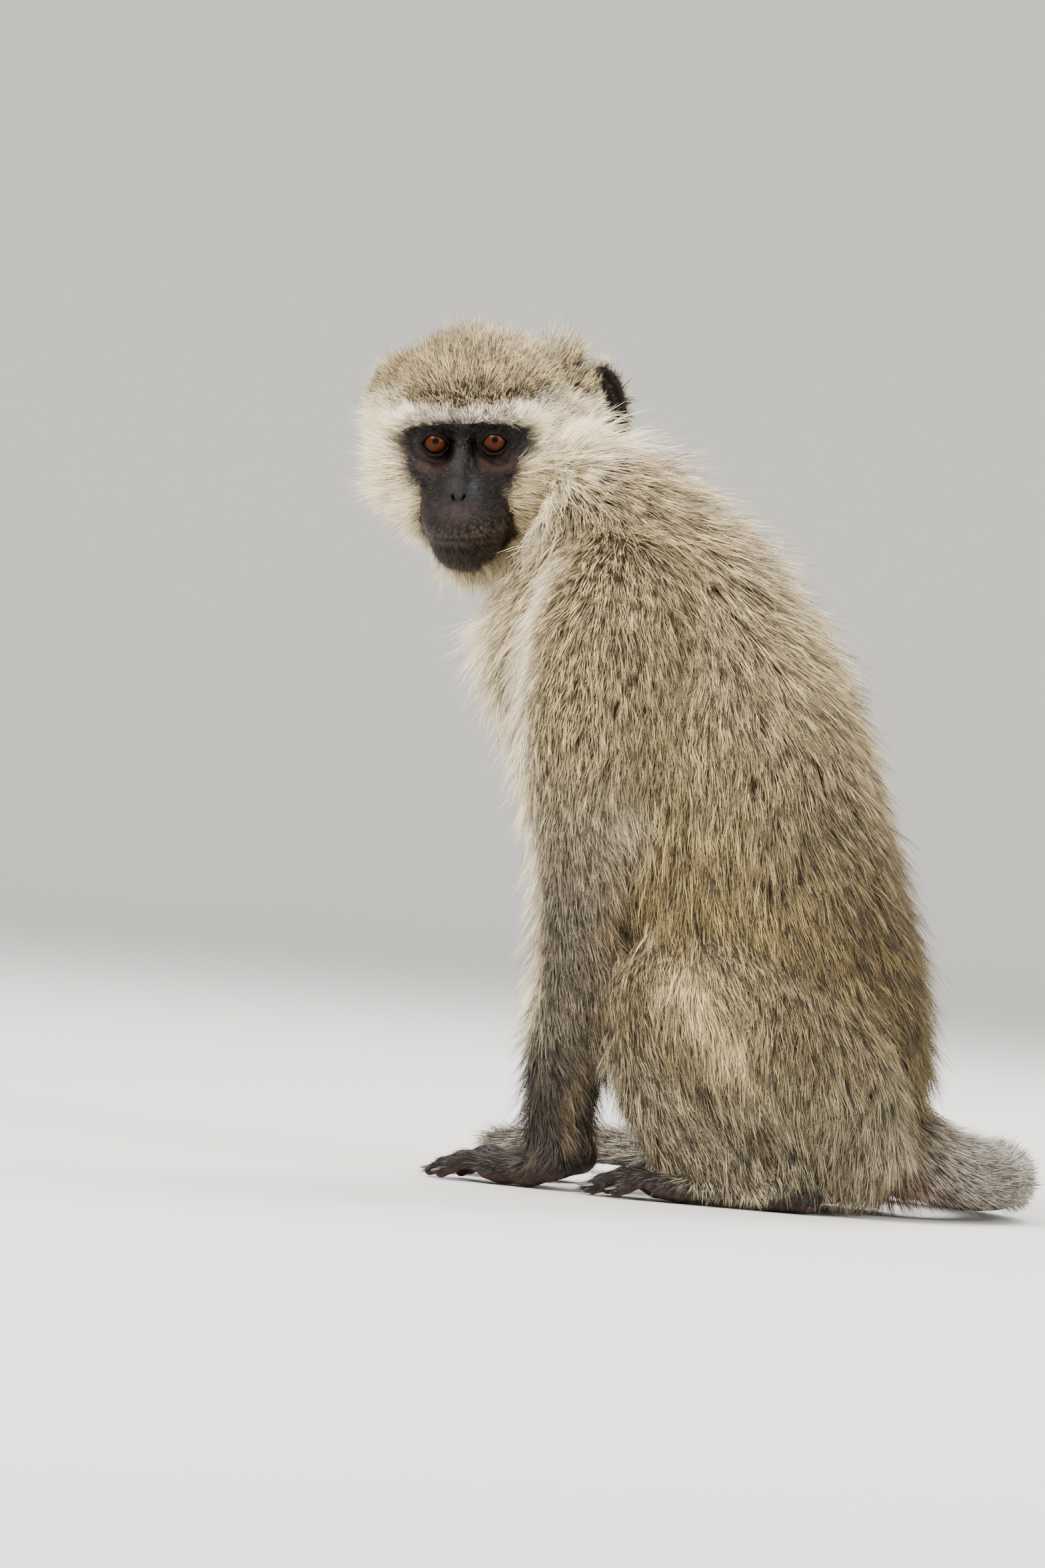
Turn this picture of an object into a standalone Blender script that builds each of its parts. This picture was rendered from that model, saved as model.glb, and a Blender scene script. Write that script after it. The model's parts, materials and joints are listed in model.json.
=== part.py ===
"""A life-size still model of a vervet monkey (Chlorocebus pygerythrus), sitting with its hands down.

The animal faces -Y and sits on z = 0. Its left side is +X, and its head is turned to its left. Sizes
are in millimetres and include the depth of the coat. Each part of the body is a closed solid, and
neighbours are carved clear of each other by a thin gap. The origin is under the middle of the seat.
"""

import math

import bmesh
import bpy
import numpy as np
from mathutils import Euler, Matrix, Vector

MM = 0.001
GAP = 0.4  # left between neighbouring solids
FLAT_ANGLE = 1.5  # degrees between faces that are joined after the cuts
FUSE_VOXEL = 1.5  # fineness of the skin drawn round the hands and feet
THICK = 35  # half width from which a part is drawn with more sides
LEFT, RIGHT = 1, -1
SIDE_NAMES = {LEFT: "left", RIGHT: "right"}

# Seat: everything lower than this plane is cut away, which leaves the small flats it rests on.
FLOOR_Z = 0.0
SEAT_Y = 38  # middle of the seat's flat in the measures below; the origin is put there at the end

# Trunk and neck, from seat to nape: the midline point in front, the one at the back, half the width.
TRUNK_SECTIONS = (
    ((2, -16), (78, -12), 34),
    ((-22, 14), (98, 18), 48),
    ((-46, 56), (106, 62), 68),
    ((-66, 102), (102, 104), 76),
    ((-84, 142), (91, 148), 75),
    ((-100, 176), (77, 188), 74),
    ((-114, 208), (63, 224), 75),
    ((-130, 236), (48, 256), 74),
    ((-137, 262), (20, 294), 67),
    ((-130, 286), (-10, 326), 57),
    ((-122, 306), (-44, 350), 50),
    ((-124, 330), (-70, 366), 42),
)
NECK_START = 8.6  # section number at which the trunk gives way to the neck

# Arm, from shoulder to wrist: centre x, y, z, half width from side to side, half depth front to back.
ARM_SECTIONS = (
    (46, -62, 296, 30, 36),
    (60, -64, 270, 33, 42),
    (67, -69, 232, 31, 39),
    (67, -73, 196, 27, 32),
    (64, -67, 173, 25, 29),
    (62, -68, 151, 23, 25.5),
    (58, -70, 109, 20, 20),
    (54, -73, 66, 17, 18),
    (51, -75, 40, 13, 14),
    (49, -77, 18, 12, 10.5),
)
ELBOW = 4.0  # section number at the elbow

# Hand, palm down, in its own frame: -Y along the middle finger, +X outward, under the wrist.
HAND_YAW = 24  # degrees that the fingers turn inwards
WRIST = Vector((50, -72, 0))
PALM_SECTIONS = (  # centre x, y, z, half width, half height
    (0, 3, 14, 10, 10),
    (0, -10, 9, 13, 9.5),
    (0, -24, 8.5, 15.5, 8.5),
    (0, -36, 7.5, 14, 7.5),
)
FINGER_RADIUS, KNUCKLE_HEIGHT = 4.9, 7.5
FINGERS = (  # knuckle across, knuckle along, length, spread in degrees; from the index to the thumb
    (-9.5, -30, 29, -9),
    (-3.2, -33, 34, -2),
    (3.6, -32, 32, 5),
    (10.0, -28, 24, 13),
    (-13, -12, 20, -42),
)
HAND_TRIANGLES, FOOT_TRIANGLES = 330, 290

# Thigh and shank, folded: centre x, y, z, half width, half depth.
THIGH_SECTIONS = (
    (36, 70, 36, 30, 34),
    (42, 54, 58, 38, 48),
    (54, 22, 82, 43, 50),
    (60, -6, 96, 38, 43),
    (61, -26, 100, 27, 31),
)
SHANK_SECTIONS = (
    (60, -26, 92, 26, 26),
    (61, -20, 62, 23, 30),
    (60, -4, 38, 20, 30),
    (58, 20, 22, 16, 22),
    (57, 34, 16, 14, 14),
)

# Foot, sole down, in its own frame: -Y along the middle toe, +X outward, under the heel.
FOOT_YAW = -3
HEEL = Vector((57, 52, 0))
SOLE_SECTIONS = (
    (0, 4, 10, 10, 9.5),
    (0, -14, 12, 12, 12),
    (-1, -36, 11.5, 14, 12),
    (0, -58, 9.5, 15.5, 9.5),
    (1, -76, 7, 14, 7),
)
TOE_RADIUS, TOE_HEIGHT = 5.4, 7.0
TOES = (  # the last is the big toe
    (-8.5, -68, 27, -6),
    (-2.5, -73, 31, -1),
    (4.0, -72, 29, 4),
    (10.5, -66, 23, 9),
    (-12, -38, 27, -32),
)

# Tail, laid on the floor behind and round the far side: centre x, y, z, radius.
TAIL_SECTIONS = (
    (0, 58, 60, 30),
    (0, 80, 44, 28.5),
    (-3, 99, 30, 26.5),
    (-17, 115, 23.5, 24),
    (-48, 130, 21, 21.5),
    (-88, 134, 19.5, 20),
    (-126, 124, 18.5, 19),
    (-155, 98, 17.5, 18),
    (-170, 60, 16.5, 17),
    (-175, 19, 15.5, 16),
    (-173, -23, 14.5, 15),
    (-177, -65, 13.5, 14),
    (-192, -104, 12, 12.5),
    (-216, -136, 9.5, 10),
)
TAIL_CUTS = (0.0, 3.4, 6.5, 9.6, 13.0)
TAIL_NAMES = ("tail_base", "tail_upper", "tail_lower", "tail_tip")

# Head. Its own frame has +X to the animal's left, +Y up and +Z out of the face, from between the eyes.
HEAD_PLACE = Vector((34, -144.7, 354.6))
HEAD_TURN, HEAD_NOD, HEAD_TILT = 86, 10, 5.5  # degrees: to its left, down, left eye raised
HEAD_INSIDE = Vector((0, -6, -22))  # a point from which all of the head's surface is in sight
HEAD_REACH = (20.0, 110.0, 1.0)  # shortest and longest distance from there to the surface, and step
HEAD_BLEND = 9.0
HEAD_TRIANGLES = 1150
HEAD_MASSES = (  # centre, radii; a mass off the midline is mirrored
    ((0, 8, -38), (48, 46, 55)),  # cranium
    ((24, 15, -53), (30, 30, 30)),  # hair above and behind the ears
    ((24, -8, -26), (30, 30, 30)),  # side whiskers
    ((20, -27, -13), (25, 23, 25)),  # whiskers along the jaw
    ((13, -44, -8), (19, 20, 22)),  # whiskers under the jaw
    ((0, -4, -9), (33, 31, 15)),  # front of the face
    ((17, -12, -2), (13, 9, 10)),  # cheekbone
    ((0, 12.5, -1), (30, 8, 12)),  # brow
    ((0, -30, 8), (21.5, 20, 20)),  # jaws
    ((0, -36, 19), (18.5, 13, 16)),  # lips
    ((0, -48, 12), (18, 14, 14.5)),  # chin
    ((0, -52, -12), (24, 20, 26)),  # throat
    ((0, -7, 4), (7, 13, 7.5)),  # bridge of the nose
    ((0, -18, 11), (11.5, 13, 10.5)),  # tip of the nose
)
EYE_APART, EYE_RADIUS = 14.6, 9.6
SOCKET_RADIUS, SOCKET_OUT = 11.0, 8.0  # a shallow bowl round each eye

# Ear: an oval dish that opens to the front and side.
EAR_PLACE = Vector((53, 9, -74))
EAR_HEIGHT, EAR_WIDTH, EAR_THICK = 37, 27, 7
EAR_RIM = 3.2
EAR_FLARE = 38  # degrees that the dish turns back from the side of the head

COLOURS = {  # base colour, roughness
    "fur": ((0.24, 0.20, 0.15), 0.95),
    "pale": ((0.62, 0.55, 0.44), 0.95),
    "limb": ((0.22, 0.19, 0.17), 0.95),
    "dark": ((0.035, 0.03, 0.028), 0.7),
    "eye": ((0.25, 0.08, 0.02), 0.1),
}


def clear_scene():
    for obj in list(bpy.data.objects):
        bpy.data.objects.remove(obj, do_unlink=True)


def material(name):
    colour, roughness = COLOURS[name]
    made = bpy.data.materials.get(name) or bpy.data.materials.new(name)
    made.use_nodes = True
    shader = made.node_tree.nodes["Principled BSDF"]
    shader.inputs["Base Color"].default_value = (*colour, 1.0)
    shader.inputs["Roughness"].default_value = roughness
    shader.inputs["Metallic"].default_value = 0.0
    return made


def new_object(name, mesh):
    obj = bpy.data.objects.new(name, mesh)
    bpy.context.scene.collection.objects.link(obj)
    return obj


def mesh_from(name, bm):
    """Turns a bmesh in millimetres into a mesh in metres, with its faces outward."""
    bmesh.ops.recalc_face_normals(bm, faces=bm.faces)
    if bm.calc_volume(signed=True) < 0:
        bmesh.ops.reverse_faces(bm, faces=bm.faces)
    bmesh.ops.scale(bm, vec=(MM, MM, MM), verts=bm.verts)
    mesh = bpy.data.meshes.new(name)
    bm.to_mesh(mesh)
    bm.free()
    return mesh


def catmull_rom(rows, at):
    """The smooth curve through rows of numbers, at a place counted in rows."""
    rows = np.asarray(rows, float)
    first = int(min(max(math.floor(at), 0), len(rows) - 2))
    t = at - first
    before = rows[first - 1] if first else 2 * rows[0] - rows[1]
    p, q = rows[first], rows[first + 1]
    after = rows[first + 2] if first + 2 < len(rows) else 2 * rows[-1] - rows[-2]
    return 0.5 * (
        2 * p
        + (q - before) * t
        + (2 * before - 5 * p + 4 * q - after) * t**2
        + (3 * p - before - 3 * q + after) * t**3
    )


def loft(name, rings, round_start, round_end, cap_rings=2):
    """A closed solid through rings of (centre, side vector, depth vector), flat or rounded at each end."""

    def domed(ring, neighbour):
        centre, side, depth = ring
        out = (centre - neighbour[0]).normalized() * min(side.length, depth.length)
        dome = []
        for k in range(cap_rings):
            rise = math.radians(90) * (k + 1) / (cap_rings + 1)
            dome.append((centre + out * math.sin(rise), side * math.cos(rise), depth * math.cos(rise)))
        return dome, centre + out

    sides = 16 if max(side.length for _, side, _ in rings) > THICK else 12
    start_dome, start_tip = domed(rings[0], rings[1])
    end_dome, end_tip = domed(rings[-1], rings[-2])
    every = (start_dome[::-1] if round_start else []) + list(rings) + (end_dome if round_end else [])
    bm = bmesh.new()
    loops = []
    turns = [2 * math.pi * k / sides for k in range(sides)]
    for centre, side, depth in every:
        loops.append([bm.verts.new(centre + side * math.cos(a) + depth * math.sin(a)) for a in turns])
    for lower, upper in zip(loops, loops[1:]):
        for k in range(sides):
            after = (k + 1) % sides
            bm.faces.new((lower[k], lower[after], upper[after], upper[k]))
    for loop, rounded, tip in ((loops[0], round_start, start_tip), (loops[-1], round_end, end_tip)):
        if not rounded:
            bm.faces.new(loop)
            continue
        apex = bm.verts.new(tip)
        for k in range(sides):
            bm.faces.new((loop[k], loop[(k + 1) % sides], apex))
    return new_object(name, mesh_from(name, bm))


def limb(name, sections, start, end, rings, round_start=True, round_end=True, mirror=LEFT):
    """A tube along part of a limb's sections, with its rings square to the limb."""
    made = []
    for at in np.linspace(start, end, rings):
        row = catmull_rom(sections, at)
        ahead = catmull_rom(sections, at + 0.02)
        centre = Vector((mirror * row[0], row[1], row[2]))
        along = Vector((mirror * ahead[0], ahead[1], ahead[2])) - centre
        along.normalize()
        side = made[-1][1].normalized() if made else Vector((1, 0, 0))
        side = (side - along * side.dot(along)).normalized()
        depth = along.cross(side)
        made.append((centre, side * row[3], depth * row[-1]))
    return loft(name, made, round_start, round_end)


def torso(name, start, end, rings, round_start, round_end):
    """A length of the trunk or neck, between its front and back lines."""
    rows = [(*front, *back, width) for front, back, width in TRUNK_SECTIONS]
    made = []
    for at in np.linspace(start, end, rings):
        front_y, front_z, back_y, back_z, width = catmull_rom(rows, at)
        front = Vector((0, front_y, front_z))
        back = Vector((0, back_y, back_z))
        made.append(((front + back) / 2, Vector((width, 0, 0)), (back - front) / 2))
    return loft(name, made, round_start, round_end)


def evaluated_copy(obj):
    """The object's mesh with its modifiers applied, replacing the one it had."""
    graph = bpy.context.evaluated_depsgraph_get()
    mesh = bpy.data.meshes.new_from_object(obj.evaluated_get(graph))
    obj.modifiers.clear()
    obj.data = mesh
    return obj


def grown(obj, by):
    """A temporary copy of the object with its surface moved out by a number of millimetres."""
    copy = new_object(obj.name + "_grown", obj.data.copy())
    copy.matrix_world = obj.matrix_world
    bm = bmesh.new()
    bm.from_mesh(copy.data)
    bm.normal_update()
    moves = [(vert, vert.normal * by * MM) for vert in bm.verts]
    for vert, move in moves:
        vert.co += move
    bm.to_mesh(copy.data)
    bm.free()
    return copy


def keep_largest(obj):
    """Drops the crumbs that a cut can leave, keeping the biggest piece."""
    bm = bmesh.new()
    bm.from_mesh(obj.data)
    bm.verts.ensure_lookup_table()
    unseen = set(bm.verts)
    pieces = []
    while unseen:
        piece, edge = set(), [next(iter(unseen))]
        while edge:
            vert = edge.pop()
            if vert in piece:
                continue
            piece.add(vert)
            edge.extend(link.other_vert(vert) for link in vert.link_edges)
        unseen -= piece
        pieces.append(piece)
    pieces.sort(key=len)
    crumbs = [vert for piece in pieces[:-1] for vert in piece]
    bmesh.ops.delete(bm, geom=crumbs, context="VERTS")
    bm.to_mesh(obj.data)
    bm.free()


def carve(obj, cutter, gap=GAP):
    """Cuts the room of another solid, and a thin gap round it, out of an object.

    Both meshes are closed, and the MANIFOLD solver keeps them so where EXACT leaves open edges.
    """
    tool = grown(cutter, gap)
    cut = obj.modifiers.new("cut", "BOOLEAN")
    cut.operation = "DIFFERENCE"
    cut.solver = "MANIFOLD"
    cut.object = tool
    evaluated_copy(obj)
    bpy.data.objects.remove(tool, do_unlink=True)
    keep_largest(obj)


def box(obj):
    corners = np.array([vert.co[:] for vert in obj.data.vertices])
    return corners.min(axis=0) - GAP * MM, corners.max(axis=0) + GAP * MM


def near(first, second):
    """Whether the boxes of two objects meet."""
    low, high = box(first)
    other_low, other_high = box(second)
    return bool((low < other_high).all() and (other_low < high).all())


def parted(wholes):
    """Leaves each solid what no earlier one in the list takes up, less a thin gap."""
    whole_meshes = [obj.data.copy() for obj in wholes]
    for count, obj in enumerate(wholes):
        for earlier, mesh in zip(wholes[:count], whole_meshes):
            kept, earlier.data = earlier.data, mesh
            if near(earlier, obj):
                carve(obj, earlier)
            earlier.data = kept
    return wholes


def stand(obj):
    """Cuts off what is lower than the floor and closes the cut with a flat."""
    bm = bmesh.new()
    bm.from_mesh(obj.data)
    everything = bm.verts[:] + bm.edges[:] + bm.faces[:]
    cut = bmesh.ops.bisect_plane(
        bm, geom=everything, plane_co=(0, 0, FLOOR_Z), plane_no=(0, 0, 1), clear_inner=True
    )
    rim = [item for item in cut["geom_cut"] if isinstance(item, bmesh.types.BMEdge)]
    bmesh.ops.holes_fill(bm, edges=rim, sides=0)
    bmesh.ops.triangulate(bm, faces=bm.faces)
    bm.to_mesh(obj.data)
    bm.free()
    return obj


def fused(name, pieces, triangles):
    """One closed skin round overlapping pieces, smoothed and thinned to about a number of triangles."""
    bm = bmesh.new()
    for piece in pieces:
        bm.from_mesh(piece.data)
        bpy.data.objects.remove(piece, do_unlink=True)
    mesh = bpy.data.meshes.new(name)
    bm.to_mesh(mesh)
    bm.free()
    obj = new_object(name, mesh)
    skin = obj.modifiers.new("skin", "REMESH")
    skin.mode = "VOXEL"
    skin.voxel_size = FUSE_VOXEL * MM
    soft = obj.modifiers.new("soft", "SMOOTH")
    soft.factor = 0.5
    soft.iterations = 2
    evaluated_copy(obj)
    return thinned(obj, triangles)


def thinned(obj, triangles):
    """Collapses a mesh to about a number of triangles."""
    obj.data.calc_loop_triangles()
    thin = obj.modifiers.new("thin", "DECIMATE")
    thin.ratio = min(1.0, triangles / len(obj.data.loop_triangles))
    return evaluated_copy(obj)


def digit(name, across, along, length, spread, radius, height):
    """A finger or toe: it leaves the knuckle, arches a little and comes down to its tip."""
    bearing = math.radians(spread)
    ahead = Vector((math.sin(bearing), -math.cos(bearing), 0))
    root = Vector((across, along, height))
    middle = root + ahead * length * 0.45
    tip = root + ahead * (length - radius)
    rows = [
        (*(root - ahead * 7), radius, radius),
        (*root, radius * 1.02, radius * 1.08),
        (middle.x, middle.y, height * 0.9, radius * 0.95, radius * 0.95),
        (tip.x, tip.y, radius * 0.75, radius * 0.78, radius * 0.72),
    ]
    return limb(name, rows, 0, len(rows) - 1, 8)


def paw(name, sections, digits, radius, height, triangles):
    """A palm or sole with its digits, fused into one piece."""
    pieces = [limb("sole", sections, 0, len(sections) - 1, 2 * len(sections) + 1)]
    for across, along, length, spread in digits:
        pieces.append(digit("digit", across, along, length, spread, radius, height))
    return fused(name, pieces, triangles)


def place(obj, spot, yaw, side):
    """Puts a left-hand piece, made in its own frame, at its spot, or mirrors it to the right."""
    turn = Matrix.Rotation(math.radians(yaw), 4, "Z")
    mirror = Matrix.Scale(-1, 4, Vector((1, 0, 0))) if side == RIGHT else Matrix.Identity(4)
    obj.data.transform(mirror @ Matrix.Translation(spot * MM) @ turn)
    if side == RIGHT:
        obj.data.flip_normals()
    return obj


def hand(side):
    """The palm, four fingers and the thumb, flat on the floor."""
    name = f"hand_{SIDE_NAMES[side]}"
    made = paw(name, PALM_SECTIONS, FINGERS, FINGER_RADIUS, KNUCKLE_HEIGHT, HAND_TRIANGLES)
    return place(made, WRIST, -HAND_YAW, side)


def foot(side):
    """The heel, instep, four toes and the big toe, flat on the floor."""
    name = f"foot_{SIDE_NAMES[side]}"
    made = paw(name, SOLE_SECTIONS, TOES, TOE_RADIUS, TOE_HEIGHT, FOOT_TRIANGLES)
    return place(made, HEEL, -FOOT_YAW, side)


def head_matrix():
    """Takes the head's own frame, in millimetres, to the model's frame."""
    turn = math.radians(HEAD_TURN)
    out = Vector((math.sin(turn), -math.cos(turn), 0))
    side = Vector((-out.y, out.x, 0))
    level = Matrix((side, Vector((0, 0, 1)), out)).transposed().to_4x4()
    nod = Euler((math.radians(HEAD_NOD), 0, math.radians(HEAD_TILT)), "XYZ").to_matrix().to_4x4()
    return Matrix.Translation(HEAD_PLACE) @ level @ nod


def blended(first, second, width):
    """The union of two distance fields, filleted where they meet."""
    near = np.maximum(width - np.abs(first - second), 0.0) / width
    return np.minimum(first, second) - near**2 * width / 4


def ellipsoid_field(points, centre, radii):
    """Roughly the distance of points from an ellipsoid, negative inside."""
    away = points - centre
    reach = np.linalg.norm(away / radii, axis=1)
    slope = np.linalg.norm(away / radii**2, axis=1)
    return reach * (reach - 1) / np.maximum(slope, 1e-9)


def head_field(points):
    """Roughly the distance from the head's surface, in its own frame, negative inside."""
    field = np.full(len(points), 1000.0)
    for centre, radii in HEAD_MASSES:
        for flip in (1, -1) if centre[0] else (1,):
            mass = ellipsoid_field(points, np.array(centre) * (flip, 1, 1), np.array(radii, float))
            field = blended(field, mass, HEAD_BLEND)
    for flip in (1, -1):
        bowl = np.array((EYE_APART * flip, 0, SOCKET_OUT))
        socket = SOCKET_RADIUS - np.linalg.norm(points - bowl, axis=1)
        field = np.maximum(field, socket)
    return field


def head():
    """The head's surface, found along lines that leave a point inside it, then thinned."""
    bm = bmesh.new()
    bmesh.ops.create_icosphere(bm, subdivisions=6, radius=1.0)
    lines = np.array([vert.co[:] for vert in bm.verts])
    inside = np.array(HEAD_INSIDE)
    nearest, farthest, step = HEAD_REACH
    reach = np.full(len(lines), nearest)
    for distance in np.arange(nearest, farthest, step):
        within = head_field(inside + lines * distance) < 0
        reach = np.where(within, distance, reach)
    low, high = reach, reach + step
    for _ in range(12):
        middle = (low + high) / 2
        within = head_field(inside + lines * middle[:, None]) < 0
        low = np.where(within, middle, low)
        high = np.where(within, high, middle)
    for vert, line, distance in zip(bm.verts, lines, low):
        vert.co = Vector(inside + line * distance)
    bm.transform(head_matrix())
    obj = new_object("head", mesh_from("head", bm))
    return thinned(obj, HEAD_TRIANGLES)


def ball(name, centre, radii, segments, rings):
    bm = bmesh.new()
    size = Matrix.Diagonal((*radii, 1.0))
    bmesh.ops.create_uvsphere(
        bm, u_segments=segments, v_segments=rings, radius=1.0, matrix=Matrix.Translation(centre) @ size
    )
    return bm


def eye(side):
    bm = ball("eye", Vector((side * EYE_APART, 0, 0)), (EYE_RADIUS,) * 3, 12, 8)
    bm.transform(head_matrix())
    return new_object(f"eye_{SIDE_NAMES[side]}", mesh_from("eye", bm))


def ear(side):
    """An oval dish, hollowed on the side that faces forward and out."""
    facing = Matrix.Rotation(math.radians(side * EAR_FLARE), 4, "Y")
    spot = Matrix.Translation(Vector((side * EAR_PLACE.x, EAR_PLACE.y, EAR_PLACE.z)))
    outer = (EAR_WIDTH / 2, EAR_HEIGHT / 2, EAR_THICK)
    inner = (EAR_WIDTH / 2 - EAR_RIM, EAR_HEIGHT / 2 - EAR_RIM, EAR_THICK)
    solid = ball("ear", Vector((0, 0, 0)), outer, 12, 7)
    hollow = ball("hollow", Vector((0, 0, EAR_THICK * 0.9)), inner, 10, 6)
    whole = head_matrix() @ spot @ facing
    solid.transform(whole)
    hollow.transform(whole)
    obj = new_object(f"ear_{SIDE_NAMES[side]}", mesh_from("ear", solid))
    dish = new_object("dish", mesh_from("dish", hollow))
    carve(obj, dish, gap=0.0)
    bpy.data.objects.remove(dish, do_unlink=True)
    return obj


def tail():
    """Four lengths of the tail, which meet at flat cuts."""
    return [
        limb(name, TAIL_SECTIONS, start, end, 7, False, end == TAIL_CUTS[-1])
        for name, start, end in zip(TAIL_NAMES, TAIL_CUTS, TAIL_CUTS[1:])
    ]


def arm(side):
    """The forearm and upper arm, which meet at a flat cut through the elbow, and the hand."""
    word = SIDE_NAMES[side]
    lower = limb(f"forearm_{word}", ARM_SECTIONS, ELBOW, len(ARM_SECTIONS) - 1, 8, False, True, side)
    upper = limb(f"upper_arm_{word}", ARM_SECTIONS, 0, ELBOW, 8, True, False, side)
    return [lower, upper, hand(side)]


def leg(side):
    """The thigh, the shank that comes out from under its knee end, and the foot."""
    word = SIDE_NAMES[side]
    thigh = limb(f"thigh_{word}", THIGH_SECTIONS, 0, len(THIGH_SECTIONS) - 1, 8, mirror=side)
    shank = limb(f"shank_{word}", SHANK_SECTIONS, 0, len(SHANK_SECTIONS) - 1, 7, mirror=side)
    return [thigh, shank, foot(side)]


def plain(obj):
    """Joins faces that lie almost in one plane, which the cuts leave many of."""
    flat = obj.modifiers.new("flat", "DECIMATE")
    flat.decimate_type = "DISSOLVE"
    flat.angle_limit = math.radians(FLAT_ANGLE)
    evaluated_copy(obj)
    bm = bmesh.new()
    bm.from_mesh(obj.data)
    bmesh.ops.triangulate(bm, faces=bm.faces)
    bm.to_mesh(obj.data)
    bm.free()
    return obj


def build():
    """Makes every part whole and on the floor, then carves each clear of the ones before it."""
    both = (LEFT, RIGHT)
    neck = torso("neck", NECK_START, len(TRUNK_SECTIONS) - 1, 5, False, True)
    trunk = torso("trunk", 0, NECK_START, 12, True, False)
    wholes = [eye(side) for side in both] + [head()] + [ear(side) for side in both]
    wholes += [part for side in both for part in arm(side) + leg(side)]
    wholes += [neck, trunk] + tail()
    parts = [plain(part) for part in parted([stand(part) for part in wholes])]
    for part in parts:
        part.data.transform(Matrix.Translation((0, -SEAT_Y * MM, 0)))
    return parts


def finish(obj):
    """Smooth shading and the part's own material."""
    name = obj.name
    if name.startswith("eye"):
        look = "eye"
    elif name.startswith(("hand", "foot", "ear")):
        look = "dark"
    elif name.startswith(("forearm", "upper_arm")):
        look = "limb"
    elif name in ("head", "neck"):
        look = "pale"
    else:
        look = "fur"
    obj.data.materials.clear()
    obj.data.materials.append(material(look))
    obj.data.shade_smooth()


clear_scene()
for part in build():
    finish(part)
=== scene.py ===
"""Looks of a life-size vervet monkey, as a museum would show it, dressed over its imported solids.

The flesh is one closed skin, drawn inside the solids by the depth of the coat. The eyes and nails are
pieces of their own. The coat is solid locks of hair that Geometry Nodes roots on the skin, so that they
follow its lie, length and markings. Lengths are in millimetres inside the classes and in metres on the
finished meshes.
"""

import json
import logging
from collections.abc import Callable, Iterator
from contextlib import contextmanager
from dataclasses import dataclass
from enum import Enum
from functools import partial
from math import ceil, cos, pi, radians, sin

import bmesh
import bpy
import numpy as np
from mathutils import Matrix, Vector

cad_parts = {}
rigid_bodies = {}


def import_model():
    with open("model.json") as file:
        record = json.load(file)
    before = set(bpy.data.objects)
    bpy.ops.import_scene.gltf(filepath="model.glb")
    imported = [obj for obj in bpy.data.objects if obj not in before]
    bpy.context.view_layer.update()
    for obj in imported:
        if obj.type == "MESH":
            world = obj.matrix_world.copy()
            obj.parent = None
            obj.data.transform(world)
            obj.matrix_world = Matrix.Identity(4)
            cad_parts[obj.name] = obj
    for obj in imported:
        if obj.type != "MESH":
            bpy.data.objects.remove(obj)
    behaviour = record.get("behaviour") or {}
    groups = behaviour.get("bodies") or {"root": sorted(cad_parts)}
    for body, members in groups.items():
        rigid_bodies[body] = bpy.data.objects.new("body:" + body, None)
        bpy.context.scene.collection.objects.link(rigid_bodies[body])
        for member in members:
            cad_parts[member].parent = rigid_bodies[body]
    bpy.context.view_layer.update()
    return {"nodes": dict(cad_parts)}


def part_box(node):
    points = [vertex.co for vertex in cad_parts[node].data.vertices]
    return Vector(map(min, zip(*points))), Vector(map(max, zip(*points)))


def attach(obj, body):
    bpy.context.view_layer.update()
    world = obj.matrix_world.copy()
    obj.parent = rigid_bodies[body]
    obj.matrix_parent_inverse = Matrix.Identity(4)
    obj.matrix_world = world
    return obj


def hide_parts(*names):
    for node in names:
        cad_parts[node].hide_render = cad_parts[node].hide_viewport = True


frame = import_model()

import openvdb
from bpy.types import Collection, Material, Mesh, NodeSocket, NodeTree, Object
from mathutils import Matrix, Vector
from mathutils.bvhtree import BVHTree

MM = 0.001
ROOT = "root"
BOTH = (1, -1)  # the animal's left and right, as the sign of x
OUTSIDE = 1000.0  # a distance that is surely outside
log = logging.getLogger("vervet")

Array = np.ndarray


def smooth(low: float, high: float, value: Array) -> Array:
    """Eases from 0 where the value is low to 1 where it is high."""
    t = np.clip((value - low) / (high - low), 0.0, 1.0)
    return t * t * (3 - 2 * t)


def bell(*parts: tuple) -> Array:
    """Fades from 1 on all sides of a middle, for pairs of a distance from it and a width."""
    return np.exp(-sum((value / width) ** 2 for value, width in parts))


def unit(vectors: Array) -> Array:
    """Returns rows of vectors at length 1."""
    return vectors / np.maximum(np.linalg.norm(vectors, axis=1, keepdims=True), 1e-9)


def ellipsoid(points: Array, centre: tuple, radii: tuple) -> Array:
    """Roughly the distance of points from an ellipsoid.

    Args:
        points: Rows of x, y, z.
        centre: The ellipsoid's middle.
        radii: Its three radii.

    Returns:
        Distances, negative inside.
    """
    away = points - np.asarray(centre, np.float32)
    size = np.asarray(radii, np.float32)
    reach = np.linalg.norm(away / size, axis=1)
    slope = np.linalg.norm(away / size**2, axis=1)
    return reach * (reach - 1) / np.maximum(slope, 1e-6)


def capsule(points: Array, start: Array, end: Array, thick: float, thin: float) -> Array:
    """Distance of points from a rod with round ends that tapers.

    Args:
        points: Rows of x, y, z.
        start: Middle of the first end.
        end: Middle of the second end.
        thick: Radius at the start.
        thin: Radius at the end.

    Returns:
        Distances, negative inside.
    """
    axis = np.asarray(end, np.float32) - np.asarray(start, np.float32)
    away = points - np.asarray(start, np.float32)
    share = np.clip(away @ axis / (axis @ axis), 0.0, 1.0)
    return np.linalg.norm(away - share[:, None] * axis, axis=1) - (thick + (thin - thick) * share)


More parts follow.
